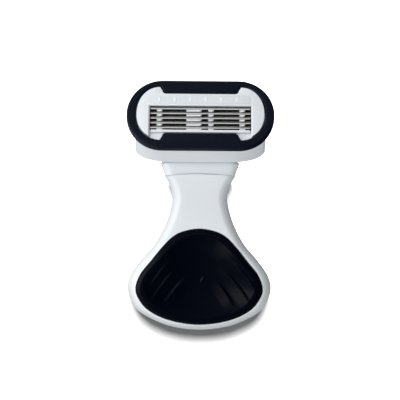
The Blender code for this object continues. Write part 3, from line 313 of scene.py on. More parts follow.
def casing(name, rise, edge, side, material=None):
    """A closed half of the handle, rounded over up (side 1) or down (side -1).

    With no material it is the hollow that cuts it: smaller by the wall, and past the seam and the end.
    """
    inset, overrun = (0.0, 0.0) if material else (HANDLE_WALL, OVERRUN)
    line = inset_line(HANDLE_LINE, inset)
    if overrun:
        line.append(line[-1] + Vector((0, overrun)))
    focus = BULB_CENTRE_SHARE * HANDLE_LENGTH - TAIL_REACH
    edge -= inset
    edit = bmesh.new()
    columns = []
    for point in line:
        centre_y = point.y if point.y > focus else focus + (point.y - focus) * CENTRE_PULL_SHARE
        centre = Vector((0, centre_y))
        inward = (centre - point).normalized()
        column = []
        for cosine, sine in quarter_turn(EDGE_STEPS):
            flat = point + inward * edge * (1 - cosine)
            height = (rise(flat.y) - SEAM_GAP / 2 - inset) * sine - overrun * (sine == 0)
            column.append((flat.x, flat.y, SEAM_HEIGHT + side * (SEAM_GAP / 2 + height)))
        for step in range(1, FLAT_STEPS + 1):
            flat = (point + inward * edge).lerp(centre, step / FLAT_STEPS)
            column.append((flat.x, flat.y, SEAM_HEIGHT + side * (rise(flat.y) - inset)))
        columns.append(column)
    halves = []
    for hand in (1, -1):
        half = [[edit.verts.new((hand * x, y, z)) for x, y, z in column] for column in columns]
        halves.append(half)
        for here, there in zip(half, half[1:]):
            for low in range(len(here) - 1):
                edit.faces.new((here[low], there[low], there[low + 1], here[low + 1]))
    right, left = halves
    edit.faces.new([column[0] for column in right] + [column[0] for column in reversed(left)])
    edit.faces.new(right[-1] + list(reversed(left[-1][:-1])))
    return finished(name, edit, material)


def bow(item):
    """Bends the ends that meet at the collar's parting line, so that its sides run towards the tail."""
    for vertex in item.data.vertices:
        away = abs(vertex.co.y - HANDLE_END) / PARTING_REACH
        if away < 1:
            vertex.co.y -= PARTING_BOW * (vertex.co.x / PARTING_HALF_WIDTH) ** 2 * (1 - away ** 2) ** 2


def back_depth(y):
    """How far the back shell reaches under the seam at a place along the handle."""
    return SEAM_HEIGHT * share_at(BACK_DEPTH_SHARES, (y + TAIL_REACH) / HANDLE_LENGTH)


def fit(item, node, body):
    """Puts a piece on its body, in the place of its CAD node."""
    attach(item, body)
    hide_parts(node)


back_shell = casing("back_shell", back_depth, BACK_EDGE, -1, satin_white_abs)
carve(back_shell, casing("back_hollow", back_depth, BACK_EDGE, -1))
button_low, button_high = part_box("release_button")
button_y, slot_reach = (button_low.y + button_high.y) / 2, BUTTON_HALF_LENGTH + FIT_GAP
slot_ends = (button_y - slot_reach, button_y + slot_reach + joint("release_slide")["range_m"][1])
carve(back_shell, box("slot", BUTTON_HALF_WIDTH + FIT_GAP, slot_ends, (-OVERRUN, HANDLE_WALL + OVERRUN)))
post_y = POST_TAIL_DISTANCE - TAIL_REACH
bore = POST_RADIUS + FIT_GAP
for x in (-POST_X, POST_X):
    top, floor = (x, post_y, SOCKET_TOP), (x, post_y, POST_FOOT - FIT_GAP)
    carve(back_shell, rod("socket", (x, post_y, HANDLE_WALL / 2), top, bore + SOCKET_WALL), "UNION")
    carve(back_shell, rod("socket_bore", floor, (x, post_y, SOCKET_TOP + OVERRUN), bore))
bow(back_shell)
fit(back_shell, "handle_back_shell", "handle")


# Release button and ejector
# The slider under the handle and the bar that it moves, moulded in grey acetal: a slippery engineering
# plastic. The button drops onto the bar's post hole and is held in the shell by its flange.

MOULDED_CORNER = 0.15 * MM
CORNER_LIMIT = math.radians(50)

# Grey acetal: a dull waxy sheen with soft edges
waxy_grey_acetal = moulded_plastic(
    "waxy_grey_acetal", "B4B8BA", "ABAFB2", grain=0.5 * MM, roughness=0.42, ior=1.48, relief=0.08,
)


def dress(node, material, corner=0.0):
    """Gives a CAD node its finish and, where it is moulded, softens its corners."""
    item = frame["nodes"][node]
    item.data.materials.clear()
    item.data.materials.append(material)
    shade_smooth(item.data)
    if corner:
        soften = item.modifiers.new("moulded_corners", "BEVEL")
        soften.width = corner
        soften.segments = 2
        soften.limit_method = "ANGLE"
        soften.angle_limit = CORNER_LIMIT


dress("release_button", waxy_grey_acetal, MOULDED_CORNER)
dress("ejector", waxy_grey_acetal, MOULDED_CORNER)


# Button spring and plunger spring
# Two compression springs, coiled from drawn spring steel wire with their last turns closed and square. They
# stand in their seats: one returns the release button, and one pushes the plunger.

CURL_POINTS = 28
WIRE_SIDES = 10
CLOSED_TURNS = 1.0
CLOSED_PITCH_SHARE = 1.05
WIRE_STEEL = "A9AAAB"
WIRE_SHADE = "8E8F91"
WIRE_BRIGHT, WIRE_DULL = 0.24, 0.4
DRAW_MARK = 0.4 * MM

# Drawn spring steel: grey, bright along the wire, with fine marks from the die
drawn_spring_steel = new_material("drawn_spring_steel", WIRE_STEEL)
wire_place = add_node(drawn_spring_steel, "TexCoord").outputs["Object"]
die_marks = add_node(
    drawn_spring_steel, "TexNoise", {"Scale": 1 / DRAW_MARK, "Detail": 4.0}, {"Vector": wire_place},
)
wire_gloss = add_node(
    drawn_spring_steel, "MapRange", {"To Min": WIRE_BRIGHT, "To Max": WIRE_DULL}, {"Value": die_marks},
)
end_surface(drawn_spring_steel, WIRE_STEEL, WIRE_SHADE, die_marks, wire_gloss, {"Metallic": 1.0})


def loft(name, sections, material=None):
    """A closed solid through rings of points, with a flat face at each end."""
    edit = bmesh.new()
    rings = [[edit.verts.new(point) for point in section] for section in sections]
    for lower, upper in zip(rings, rings[1:]):
        for index in range(len(lower)):
            after = (index + 1) % len(lower)
            edit.faces.new((lower[index], lower[after], upper[after], upper[index]))
    edit.faces.new(rings[0])
    edit.faces.new(rings[-1])
    return finished(name, edit, material)


def coil_spring(node, wire_radius, turns):
    """A compression spring where the CAD spring stands, which a slide shortens towards its held end."""
    low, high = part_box(node)
    middle_x, middle_z = (low.x + high.x) / 2, (low.z + high.z) / 2
    closed = 2 * wire_radius * CLOSED_PITCH_SHARE
    free_turns = turns - 2 * CLOSED_TURNS
    free = (high.y - low.y - 2 * wire_radius - 2 * closed * CLOSED_TURNS) / free_turns
    rings = []
    for step in range(turns * CURL_POINTS + 1):
        turn = step / CURL_POINTS
        tight = min(turn, CLOSED_TURNS) + max(turn - turns + CLOSED_TURNS, 0)
        y = low.y + wire_radius + closed * tight + free * min(max(turn - CLOSED_TURNS, 0), free_turns)
        out = Vector((math.cos(2 * math.pi * turn), 0, math.sin(2 * math.pi * turn)))
        centre = Vector((middle_x, y, middle_z)) + out * ((high.x - low.x) / 2 - wire_radius)
        ring = []
        for side in range(WIRE_SIDES):
            around = 2 * math.pi * side / WIRE_SIDES
            ring.append(centre + (out * math.cos(around) + Vector((0, math.sin(around), 0))) * wire_radius)
        rings.append(ring)
    spring = loft(node + "_coil", rings, drawn_spring_steel)
    fit(spring, node, "handle")
    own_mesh(spring)


coil_spring("button_spring", wire_radius=0.2 * MM, turns=7)
coil_spring("plunger_spring", wire_radius=0.17 * MM, turns=8)


# Docking nose and plunger
# The block glued into the neck, whose nose carries the refill, and the sprung rod in its bore that pushes
# the refill back to rest. Both are moulded in the same grey acetal.

dress("docking_nose", waxy_grey_acetal)
dress("plunger", waxy_grey_acetal)


# Handle front shell
# The upper half of the handle in the same white ABS. It has a walled recess that the grip pad is glued in,
# and two posts that locate it in the back half.

FRONT_RISE = 9.0 * MM
FRONT_EDGE = 3.4 * MM
NECK_RISE_SHARE = 0.555
FRONT_RISE_SHARES = (
    (0.0, 1.0), (0.45, 1.0), (0.62, 0.73), (0.74, 0.56), (0.80, NECK_RISE_SHARE), (1.0, 0.633),
)
PAD_TAIL_MARGIN = 2.4 * MM
PAD_NECK_MARGIN = 18.7 * MM
PAD_SIDE_MARGIN = 3.05 * MM
PAD_OUTLINE_SHARES = (
    (0.0, 0.0), (0.045, 0.470), (0.149, 0.802), (0.28, 0.965), (0.39, 1.0), (0.526, 0.922),
    (0.653, 0.769), (0.80, 0.592), (0.907, 0.434), (0.969, 0.264), (1.0, 0.0),
)
PAD_STEPS = 16
PAD_FLOOR_THICKNESS = 1.2 * MM
PAD_TUB_WALL = 1.4 * MM
PAD_LENGTH = HANDLE_LENGTH - PAD_TAIL_MARGIN - PAD_NECK_MARGIN
PAD_WIDTH = BULB_WIDTH - 2 * PAD_SIDE_MARGIN
PAD_BOTTOM_Y = PAD_TAIL_MARGIN - TAIL_REACH
pad_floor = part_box("grip_pad")[0].z - FIT_GAP


def front_rise(y):
    """How far the front shell stands over the seam at a place along the handle."""
    return FRONT_RISE * share_at(FRONT_RISE_SHARES, (y + TAIL_REACH) / HANDLE_LENGTH)


def pad_place(width, place):
    """A place on the pad, from shares of its half width and of its length."""
    return Vector((width * PAD_WIDTH / 2, place * PAD_LENGTH + PAD_BOTTOM_Y))


# The grip pad's outline, anticlockwise from its lowest point
points = [pad_place(width, place) for place, width in PAD_OUTLINE_SHARES]
before, after = (-points[1].x, points[1].y), (-points[-2].x, points[-2].y)
pad_side = smooth_line(points, before, after, PAD_STEPS)
PAD_OUTLINE = pad_side + [Vector((-point.x, point.y)) for point in reversed(pad_side[1:-1])]


def closed_offset(outline, distance):
    """A closed anticlockwise outline moved outwards by a distance."""
    moved = []
    for index, point in enumerate(outline):
        along = (outline[(index + 1) % len(outline)] - outline[index - 1]).normalized()
        moved.append(point + Vector((along.y, -along.x)) * distance)
    return moved


def slab(name, outline, low, high):
    """A flat plate with an outline in X and Y, from one height to another."""
    return loft(name, [[(x, y, z) for x, y in outline] for z in (low, high)])


above_shell = SEAM_HEIGHT + FRONT_RISE + OVERRUN
front_shell = casing("front_shell", front_rise, FRONT_EDGE, 1, satin_white_abs)
front_hollow = casing("front_hollow", front_rise, FRONT_EDGE, 1)
tub_outline = closed_offset(PAD_OUTLINE, FIT_GAP + PAD_TUB_WALL)
carve(front_hollow, slab("pad_tub", tub_outline, pad_floor - PAD_FLOOR_THICKNESS, above_shell))
carve(front_shell, front_hollow)
carve(front_shell, slab("pad_recess", closed_offset(PAD_OUTLINE, FIT_GAP), pad_floor, above_shell))
for x in (-POST_X, POST_X):
    foot, top = (x, post_y, POST_FOOT), (x, post_y, pad_floor - PAD_FLOOR_THICKNESS / 2)
    carve(front_shell, rod("post", foot, top, POST_RADIUS), "UNION")
bow(front_shell)
fit(front_shell, "handle_front_shell", "handle")


# Grip pad
# A dished thumb pad of very dark blue thermoplastic elastomer, moulded with a raised lip and three pleats a
# side that overlap like shingles, and fed through a gate in its middle. It is glued to its recess's floor.

PAD_LIP = 0.6 * MM
PAD_DISH_DEPTH = 3.6 * MM
PAD_DISH_POWER = 2.6
PAD_CENTRE_SHARE = 0.42
PAD_RIM_SHARE = 0.935
PAD_LIP_WIDTH = 1.2 * MM
PAD_LIP_DROP = 0.75 * MM
PAD_LIP_ROUNDING = 0.15
LIP_STEPS = 8
DISH_STEPS = 84
PLEAT_HEIGHT = 0.5 * MM
PLEAT_RISE = 3.2 * MM
PLEAT_FALL = 0.9 * MM
PLEAT_FOOT_SHARE = 0.28
PLEAT_FADE_SHARE = 0.45
# Where each pleat's crest starts and ends, in shares of the pad's half width and length, and its bulge
PLEATS = (
    ((0.930, 0.300), (0.330, 0.740), 0.035), ((0.830, 0.180), (0.290, 0.620), 0.020),
    ((0.560, 0.170), (0.210, 0.490), 0.010), ((-0.840, 0.320), (-0.230, 0.822), 0.020),
    ((-0.800, 0.190), (-0.230, 0.665), 0.020), ((-0.590, 0.170), (-0.130, 0.545), 0.010),
)
GATE_PLACE = (1.2 * MM, -9.8 * MM)
GATE_HALF_SIZE = (0.75 * MM, 1.5 * MM)
GATE_TURN = math.radians(-26)
GATE_HEIGHT = 0.3 * MM
BLOOM_PATCH = 6.0 * MM
BLOOM_GLOSS = 0.05
SOFT_GRAIN_RELIEF = 0.15
SOFT_GRAIN_DEPTH = 0.03 * MM


def elastomer(name, base, shade, grain, roughness, specular):
    """Soft-touch elastomer: nearly black, with a fine dull grain and a soft, uneven gloss."""
    material = new_material(name, base)
    place = add_node(material, "TexCoord").outputs["Object"]
    bloom = add_node(material, "TexNoise", {"Scale": 1 / BLOOM_PATCH, "Detail": 3.0}, {"Vector": place})
    fine = add_node(material, "TexNoise", {"Scale": 1 / grain, "Detail": 2.0}, {"Vector": place})
    gloss = add_node(
        material, "MapRange", {"To Min": roughness - BLOOM_GLOSS, "To Max": roughness + BLOOM_GLOSS},
        {"Value": bloom},
    )
    bump = add_node(
        material, "Bump", {"Strength": SOFT_GRAIN_RELIEF, "Distance": SOFT_GRAIN_DEPTH}, {"Height": fine},
    )
    settings = {"IOR": 1.5, "Specular IOR Level": specular}
    return end_surface(material, base, shade, bloom, gloss, settings, bump)


# Soft-touch elastomer in navy: close to black, with broad faint highlights on the pleats and the lip
soft_navy_elastomer = elastomer(
    "soft_navy_elastomer", "010411", "01030C", grain=0.3 * MM, roughness=0.42, specular=0.1,
)

pad_centre = pad_place(0.0, PAD_CENTRE_SHARE)


def smooth_step(value):
    """Goes from 0 to 1 with no kink at either end."""
    value = min(max(value, 0.0), 1.0)
    return value * value * (3 - 2 * value)


def pleat_rise(place):
    """Height that the pleats add: like shingles, each climbs gently outwards and drops at its crest."""
    height = 0.0
    for start, end, bulge in PLEATS:
        low, high = pad_place(*start), pad_place(*end)
        along = (high - low).normalized()
        out = Vector((along.y, -along.x))
        if out.x * low.x < 0:
            out = -out
        away = place - low
        run = away.dot(along) / (high - low).length
        inside = bulge * PAD_WIDTH * 4 * run * (1 - run) - away.dot(out)
        if not 0 < run < 1 or not -PLEAT_FALL < inside < PLEAT_RISE:
            continue
        profile = 1 - inside / PLEAT_RISE if inside > 0 else smooth_step(1 + inside / PLEAT_FALL)
        fade = smooth_step(run / PLEAT_FOOT_SHARE) * smooth_step((1 - run) / (1 - PLEAT_FADE_SHARE))
        height = max(height, PLEAT_HEIGHT * profile * fade)
    return height


def gate_rise(place):
    """Height of the small oval mark that the moulding gate leaves in the middle of the dish."""
    away = Matrix.Rotation(-GATE_TURN, 2) @ (place - Vector(GATE_PLACE))
    far = (away.x / GATE_HALF_SIZE[0]) ** 2 + (away.y / GATE_HALF_SIZE[1]) ** 2
    return GATE_HEIGHT * max(0.0, 1 - far) ** 2


def pad_height(place, ring_share):
    """Height of the pad's surface: a raised rim round a dish."""
    rim = SEAM_HEIGHT + front_rise(place.y) + PAD_LIP
    inside = min(ring_share / PAD_RIM_SHARE, 1.0)
    return rim - PAD_DISH_DEPTH * (1 - inside ** PAD_DISH_POWER)


pad_lip = closed_offset(PAD_OUTLINE, -PAD_LIP_WIDTH)
lip_top = [pad_height(point, 1.0) for point in PAD_OUTLINE]
rings = [[(p.x, p.y, pad_floor + FIT_GAP) for p in PAD_OUTLINE]]
for step in range(LIP_STEPS + 1):
    share = step / LIP_STEPS
    inner = closed_offset(PAD_OUTLINE, -PAD_LIP_WIDTH * share)
    drop = PAD_LIP_DROP * (1 - share - PAD_LIP_ROUNDING * math.sin(math.pi * share))
    rings.append([(p.x, p.y, z - drop) for p, z in zip(inner, lip_top)])
for step in range(1, DISH_STEPS + 1):
    share = 1 - step / DISH_STEPS
    places = [pad_centre + (point - pad_centre) * share for point in pad_lip]
    rings.append([(p.x, p.y, pad_height(p, share) + pleat_rise(p) + gate_rise(p)) for p in places])
thumb_pad = loft("thumb_pad", rings, soft_navy_elastomer)
fit(thumb_pad, "grip_pad", "handle")


# Connector
# The part of the refill that slides on the nose: a white collar that carries on the neck's lines and flares
# to the head, with two arms and the trunnions that the cartridge turns on. It is moulded in one shot.

PARTING_GAP = 0.1 * MM
COLLAR_LENGTH = 3.8 * MM
COLLAR_WIDTH = 26.8 * MM
COLLAR_STEP = 0.3 * MM
COLLAR_CORNER = 3.0 * MM
COLLAR_SECTION_SHARES = (
    (0.0, 0.888), (0.35, 0.925), (0.70, 0.98), (0.84, 0.995), (0.93, 0.98), (1.0, 0.93),
)
COLLAR_ROWS = 16
COLLAR_SIDE_STEPS = 16
CORNER_STEPS = 9
ARM_INSIDE = 10.2 * MM
ARM_THICKNESS = 2.7 * MM
ARM_OUTSIDE = ARM_INSIDE + ARM_THICKNESS
ARM_EYE_RADIUS = 2.3 * MM
ARM_EYE_START = math.radians(-75)
ARM_EYE_FINISH = math.radians(125)
ARM_EYE_STEPS = 24
ARM_ROOT_FOOT = 3.6 * MM
ARM_ROOT_SHOULDER = 1.2 * MM
ARM_KNEE = 2.0 * MM
TRUNNION_RADIUS = 1.2 * MM
TRUNNION_LENGTH = 2.3 * MM
NOSE_WIDTH = 10.0 * MM

# Cartridge white: a cooler, slightly duller white than the handle's, from a polypropylene blend
satin_white_blend = moulded_plastic(
    "satin_white_blend", "E3E8EC", "DBE1E6", grain=0.4 * MM, roughness=0.4, ior=1.5, relief=0.1,
)

pivot = Vector(joint("cartridge_pivot")["pos_m"])
collar_start = HANDLE_END + PARTING_GAP
collar_end = HANDLE_END + FIT_GAP + COLLAR_LENGTH
collar_top = SEAM_HEIGHT + FRONT_RISE * FRONT_RISE_SHARES[-1][1] - COLLAR_STEP
collar_bottom = SEAM_HEIGHT * (1 - BACK_DEPTH_SHARES[-1][1]) + COLLAR_STEP
nose_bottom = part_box("docking_nose")[0].z


def rounded_rectangle(low, high, radius, steps, stretch=1.0):
    """An anticlockwise rectangle as points, with round corners that may be stretched along X."""
    points = []
    wide = radius * stretch
    corners = (
        (high[0] - wide, high[1] - radius, 0), (low[0] + wide, high[1] - radius, 1),
        (low[0] + wide, low[1] + radius, 2), (high[0] - wide, low[1] + radius, 3),
    )
    for x, y, quarter in corners:
        for step in range(steps + 1):
            angle = math.pi / 2 * (quarter + step / steps)
            points.append((x + wide * math.cos(angle), y + radius * math.sin(angle)))
    return points


def divided(ring, corner_points, count):
    """The points of a rounded rectangle, with more points along its straight sides."""
    points = []
    for index, (start, end) in enumerate(zip(ring, ring[1:] + ring[:1])):
        parts = count if index % corner_points == corner_points - 1 else 1
        points += [Vector(start).lerp(Vector(end), step / parts) for step in range(parts)]
    return points


def side_slab(name, outline, low_x, high_x, material=None):
    """A plate whose outline is drawn in Y and Z, and which runs along X."""
    return loft(name, [[(x, y, z) for y, z in outline] for x in (low_x, high_x)], material)


sections = []
for row in range(COLLAR_ROWS + 1):
    place = row / COLLAR_ROWS
    half = share_at(COLLAR_SECTION_SHARES, place) * COLLAR_WIDTH / 2
    ring = rounded_rectangle((-half, collar_bottom), (half, collar_top), COLLAR_CORNER, CORNER_STEPS)
    y = collar_end + (place - 1) * (collar_end - collar_start)
    sections.append([(x, y, z) for x, z in divided(ring, CORNER_STEPS + 1, COLLAR_SIDE_STEPS)])
collar = loft("collar", sections, satin_white_blend)
root, knee = collar_end - COLLAR_LENGTH / 3, collar_end + ARM_KNEE
arm_low, arm_high = collar_bottom + ARM_ROOT_FOOT, collar_top - ARM_ROOT_SHOULDER
arm = [(root, arm_low), (knee, arm_low)]
for step in range(ARM_EYE_STEPS + 1):
    angle = ARM_EYE_START + (ARM_EYE_FINISH - ARM_EYE_START) * step / ARM_EYE_STEPS
    arm.append((pivot.y + ARM_EYE_RADIUS * math.cos(angle), pivot.z + ARM_EYE_RADIUS * math.sin(angle)))
arm += [(pivot.y - ARM_EYE_RADIUS, pivot.z), (knee, arm_high), (root, arm_high)]
for hand in (1, -1):
    carve(collar, side_slab("arm", arm, hand * ARM_INSIDE, hand * ARM_OUTSIDE), "UNION")
    inner = (hand * (ARM_OUTSIDE - ARM_THICKNESS / 2), pivot.y, pivot.z)
    outer = (hand * (ARM_OUTSIDE + TRUNNION_LENGTH), pivot.y, pivot.z)
    carve(collar, rod("trunnion", inner, outer, TRUNNION_RADIUS), "UNION")
hole_top = SEAM_HEIGHT + FRONT_RISE * NECK_RISE_SHARE - HANDLE_WALL
carve(collar, box(
    "nose_hole", NOSE_WIDTH / 2 + FIT_GAP, (collar_start - OVERRUN, collar_end + OVERRUN),
    (nose_bottom - FIT_GAP, hole_top),
))
bow(collar)
fit(collar, "connector", "connector")


# Cartridge tray
# The body of the cartridge, moulded in the same white blend: a bay for the blades with webs that space them,
# a guard bar in front of them, and a pocket behind for the connector's arms, with its sockets and cam.

HEAD_TILT = math.radians(30)
PIVOT_EDGE_DISTANCE = 5.0 * MM
PIVOT_BACK_DISTANCE = 3.2 * MM
WINDOW_WIDTH = 33.8 * MM
CAP_BORDER = 0.35 * MM
STRIP_DEPTH = 3.4 * MM
CAP_EDGE = 0.7 * MM
BLADE_CAP_GAP = 1.35 * MM
BLADE_COUNT = 5
BLADE_PITCH = 1.88 * MM
BLADE_GUARD_GAP = 0.45 * MM
GUARD_WIDTH = 0.9 * MM
GUARD_BAR_GAP = 0.4 * MM
FACE_SHIFT = 0.4 * MM
COVER_THICKNESS = 0.9 * MM
WING_WIDTH = 4.85 * MM
RING_SIDE_RIM = 3.1 * MM
RING_CAP_RIM = 2.5 * MM
RING_GUARD_RIM = 3.3 * MM
RING_END = 12.1 * MM
RING_THICKNESS = 2.6 * MM
RING_POWER = 2.0
OPENING_END = 8.65 * MM
OPENING_POWER = 2.1
NOTCH_SETBACK = 0.5 * MM
NOTCH_ROUNDING = 0.9 * MM
BAR_DEPTH = 5.6 * MM
BAR_ROUNDING = 1.0 * MM
END_STEPS = 28
NEAR = 0.01 * MM
TRAY_SIDE_INSET = 2.95 * MM
TRAY_EDGE_INSET = 1.0 * MM
TRAY_DEPTH = 11.2 * MM
TRAY_BACK_ROUNDING = 0.4 * MM
TRAY_CORNER = 7.0 * MM
TRAY_CORNER_STRETCH = 1.5
TRAY_BACK_CORNER = 4.8 * MM
TRAY_BACK_CORNER_STRETCH = 2.3
BAY_END_REACH = 1.9 * MM
BAY_FLOOR = 3.2 * MM
GUARD_TOP = 0.5 * MM
RINSE_FLOOR = 4.5 * MM
POCKET_WALL = 1.0 * MM
POCKET_HEIGHT = 12.4 * MM
POCKET_SIDE_GAP = 0.5 * MM
WEB_DEPTH = 5.4 * MM
WEB_WIDTH = 2.0 * MM
# Each web's place across and its width, in shares of the window's width and of a web's
WEB_PLACE_SHARES = ((-0.406, 1.0), (-0.064, 2.6), (0.105, 1.0), (0.415, 1.0))
TOOTH_TOP = 0.55 * MM
TOOTH_BACK = 0.69 * MM
TOOTH_FRONT = 0.05 * MM
TOOTH_FLARE = 0.55 * MM
CAM_WIDTH = 3.6 * MM
CAM_THICKNESS = 3.0 * MM
CAM_STEPS = 16
PLUNGER_ARM = 5.0 * MM
PLUNGER_CONTACT = 0.4 * MM

bar_edge = (
    GUARD_BAR_GAP + GUARD_WIDTH + BLADE_GUARD_GAP + (BLADE_COUNT - 1) * BLADE_PITCH
    + BLADE_CAP_GAP + CAP_EDGE + STRIP_DEPTH + CAP_BORDER + 2 * FIT_GAP
) / 2
guard_bar_edge, cap_bar_edge = bar_edge - FACE_SHIFT, bar_edge + FACE_SHIFT
guard_edge = guard_bar_edge - GUARD_BAR_GAP - GUARD_WIDTH
blade_top_edge = (BLADE_COUNT - 1) * BLADE_PITCH + BLADE_GUARD_GAP - guard_edge
window_top = blade_top_edge + BLADE_CAP_GAP
strip_low = window_top + CAP_EDGE
strip_high = strip_low + STRIP_DEPTH
opening_width = WINDOW_WIDTH + 2 * WING_WIDTH
ring_width = opening_width + 2 * RING_SIDE_RIM
ring_height = 2 * (bar_edge + BAR_DEPTH)
opening_straight = opening_width - 2 * OPENING_END
bar_length = opening_straight - 2 * NOTCH_SETBACK
tray_width = ring_width - 2 * TRAY_SIDE_INSET
tray_height = ring_height - 2 * TRAY_EDGE_INSET
tray_top = RING_THICKNESS + FIT_GAP
island_top = COVER_THICKNESS + FIT_GAP
half_window = WINDOW_WIDTH / 2
half_bay = half_window + BAY_END_REACH
pivot_u = PIVOT_EDGE_DISTANCE - tray_height / 2
pivot_w = PIVOT_BACK_DISTANCE - TRAY_DEPTH
tilt = Matrix.Rotation(-HEAD_TILT, 4, "X")
head_place = Matrix.Translation(pivot) @ tilt @ Matrix.Translation((0, -pivot_u, -pivot_w))


def fit_in_head(item, node):
    """Turns a piece that is drawn in the head's frame to where it stands, and fits it on the cartridge."""
    item.data.transform(head_place)
    fit(item, node, "cartridge")


def rounded_end(half_width, half_height, straight, power, steps):
    """Quarter of an oval: from its top, round the right end, to its right side."""
    return [
        (straight + (half_width - straight) * cosine ** (2 / power), half_height * sine ** (2 / power))
        for cosine, sine in reversed(quarter_turn(steps))
    ]


def four_quarters(upper, lower):
    """An anticlockwise outline from two clockwise quarters that run from the middle to the right side."""
    points = list(reversed(upper)) + [(-x, y) for x, y in upper]
    points += [(-x, -y) for x, y in reversed(lower)] + [(x, -y) for x, y in lower]
    outline = []
    for point in points:
        if not outline or (Vector(point) - Vector(outline[-1])).length > NEAR:
            outline.append(point)
    if (Vector(outline[0]) - Vector(outline[-1])).length <= NEAR:
        outline.pop()
    return outline


def opening_quarter(edge, rim, inset):
    """Quarter of the ring's opening: round a bar's end, round the notch and on to the right side."""
    bar_x, bar_u = bar_length / 2 + inset, edge - inset
    start, top = opening_straight / 2 + inset, ring_height / 2 - rim - inset
    bar_corner, notch_corner = BAR_ROUNDING + inset, NOTCH_ROUNDING - inset
    points = []
    for cosine, sine in reversed(quarter_turn(CORNER_STEPS)):
        points.append((bar_x - bar_corner * (1 - cosine), bar_u + bar_corner * (1 - sine)))
    for cosine, sine in quarter_turn(CORNER_STEPS):
        points.append((start + notch_corner * (1 - cosine), top - notch_corner * (1 - sine)))
    end = rounded_end(opening_width / 2 - inset, top, start, OPENING_POWER, END_STEPS)
    return points + [point for point in end if point[0] > start + notch_corner]


def opening_outline(inset):
    """Opening of the comfort ring, with its two bars and four notches, made smaller by an inset."""
    upper = opening_quarter(cap_bar_edge, RING_CAP_RIM, inset)
    lower = opening_quarter(guard_bar_edge, RING_GUARD_RIM, inset)
    return four_quarters(upper, lower)


rows = [(tray_top, 0.0, TRAY_CORNER, TRAY_CORNER_STRETCH)]
for cosine, sine in quarter_turn(CORNER_STEPS):
    depth = TRAY_DEPTH - TRAY_BACK_ROUNDING * (1 - sine)
    inset = TRAY_BACK_ROUNDING * (1 - cosine)
    rows.append((depth, inset, TRAY_BACK_CORNER, TRAY_BACK_CORNER_STRETCH))
sections = []
for depth, inset, corner, stretch in rows:
    half_x, half_u = tray_width / 2 - inset, tray_height / 2 - inset
    ring = rounded_rectangle((-half_x, -half_u), (half_x, half_u), corner, 2 * CORNER_STEPS, stretch)
    sections.append([(x, u, -depth) for x, u in ring])
tray = loft("tray", sections, satin_white_blend)
carve(tray, slab("island", opening_outline(FIT_GAP), -tray_top - OVERRUN, -island_top), "UNION")
carve(tray, box(
    "guard", half_window - FIT_GAP, (-guard_edge - GUARD_WIDTH, -guard_edge), (-tray_top, -GUARD_TOP),
), "UNION")
carve(tray, box("bay", half_bay, (-guard_edge, strip_low), (-BAY_FLOOR, OVERRUN)))
carve(tray, box(
    "rinse_bay", half_window, (-guard_edge, strip_low),
    (-RINSE_FLOOR - OVERRUN / 2, -BAY_FLOOR + OVERRUN / 2),
))
half_pocket = ARM_OUTSIDE + POCKET_SIDE_GAP
pocket_low = POCKET_WALL - tray_height / 2
carve(tray, box(
    "pocket", half_pocket, (pocket_low, pocket_low + POCKET_HEIGHT), (-TRAY_DEPTH - OVERRUN, -RINSE_FLOOR),
))
for hand in (1, -1):
    inner = (hand * (half_pocket - OVERRUN), pivot_u, pivot_w)
    outer = (hand * (ARM_OUTSIDE + TRUNNION_LENGTH + FIT_GAP), pivot_u, pivot_w)
    carve(tray, rod("socket_bore", inner, outer, TRUNNION_RADIUS + FIT_GAP))


def web(centre, width):
    """A web across the bay: a bar under the blades, and between them teeth that flare towards the cap."""
    ends = (-guard_edge - OVERRUN, strip_low + OVERRUN)
    bar = box("web", width / 2, ends, (-WEB_DEPTH, -BAY_FLOOR), centre)
    for number in range(BLADE_COUNT):
        edge = blade_top_edge - number * BLADE_PITCH
        back, front = edge - TOOTH_BACK, edge + TOOTH_FRONT
        narrow = width / 2 - TOOTH_FLARE
        plan = [
            (centre - narrow, back), (centre + narrow, back),
            (centre + width / 2, front), (centre - width / 2, front),
        ]
        carve(bar, slab("tooth", plan, -BAY_FLOOR - OVERRUN / 2, -TOOTH_TOP), "UNION")
    return bar


for place, width in WEB_PLACE_SHARES:
    carve(tray, web(place * WINDOW_WIDTH, width * WEB_WIDTH), "UNION")

# The cam's outline in the pivot's own frame: the line that the plunger's tip rubs, and then back to the tray
travel = math.radians(joint("cartridge_pivot")["range_deg"][1])
cam = []
for step in range(CAM_STEPS + 1):
    turn = travel * step / CAM_STEPS
    reach = -PLUNGER_CONTACT - PLUNGER_ARM * turn
    y = reach * math.cos(turn) + PLUNGER_ARM * math.sin(turn)
    z = reach * math.sin(turn) - PLUNGER_ARM * math.cos(turn)
    cam.append(Vector((0, y, z)))
cam.append(cam[-1] + Vector((0, CAM_THICKNESS, 0)))
ceiling = -RINSE_FLOOR - pivot_w + OVERRUN / 2
for u in (CAM_THICKNESS, -CAM_THICKNESS / 2):
    cam.append(tilt @ Vector((0, u + OVERRUN, ceiling)))
cam.append(Vector((0, -PLUNGER_CONTACT, -PLUNGER_ARM / 2)))
cam = [tilt.inverted() @ point for point in cam]
cam = [(point.y + pivot_u, point.z + pivot_w) for point in cam]
carve(tray, side_slab("cam", cam, -CAM_WIDTH / 2, CAM_WIDTH / 2), "UNION")
fit_in_head(tray, "cartridge_tray")


# Blades and their supports
# Five blades of hardened stainless steel strip, ground along one edge and spot-welded to bent supports of
# the same steel. The supports stand in the bay, between the teeth of the webs.

STEEL_SHINE = 0.35
BRIGHTEST, DULLEST = -0.06, 0.08
GRINDING_LINE = 0.06 * MM
ROLLING_STREAK = 3.0 * MM
BLADE_SINK = 0.3 * MM
BLADE_TILT = math.radians(24)
BLADE_WIDTH = 1.05 * MM
BLADE_THICKNESS = 0.12 * MM
BLADE_BEVEL = 0.55 * MM
BLADE_END_GAP = 0.2 * MM


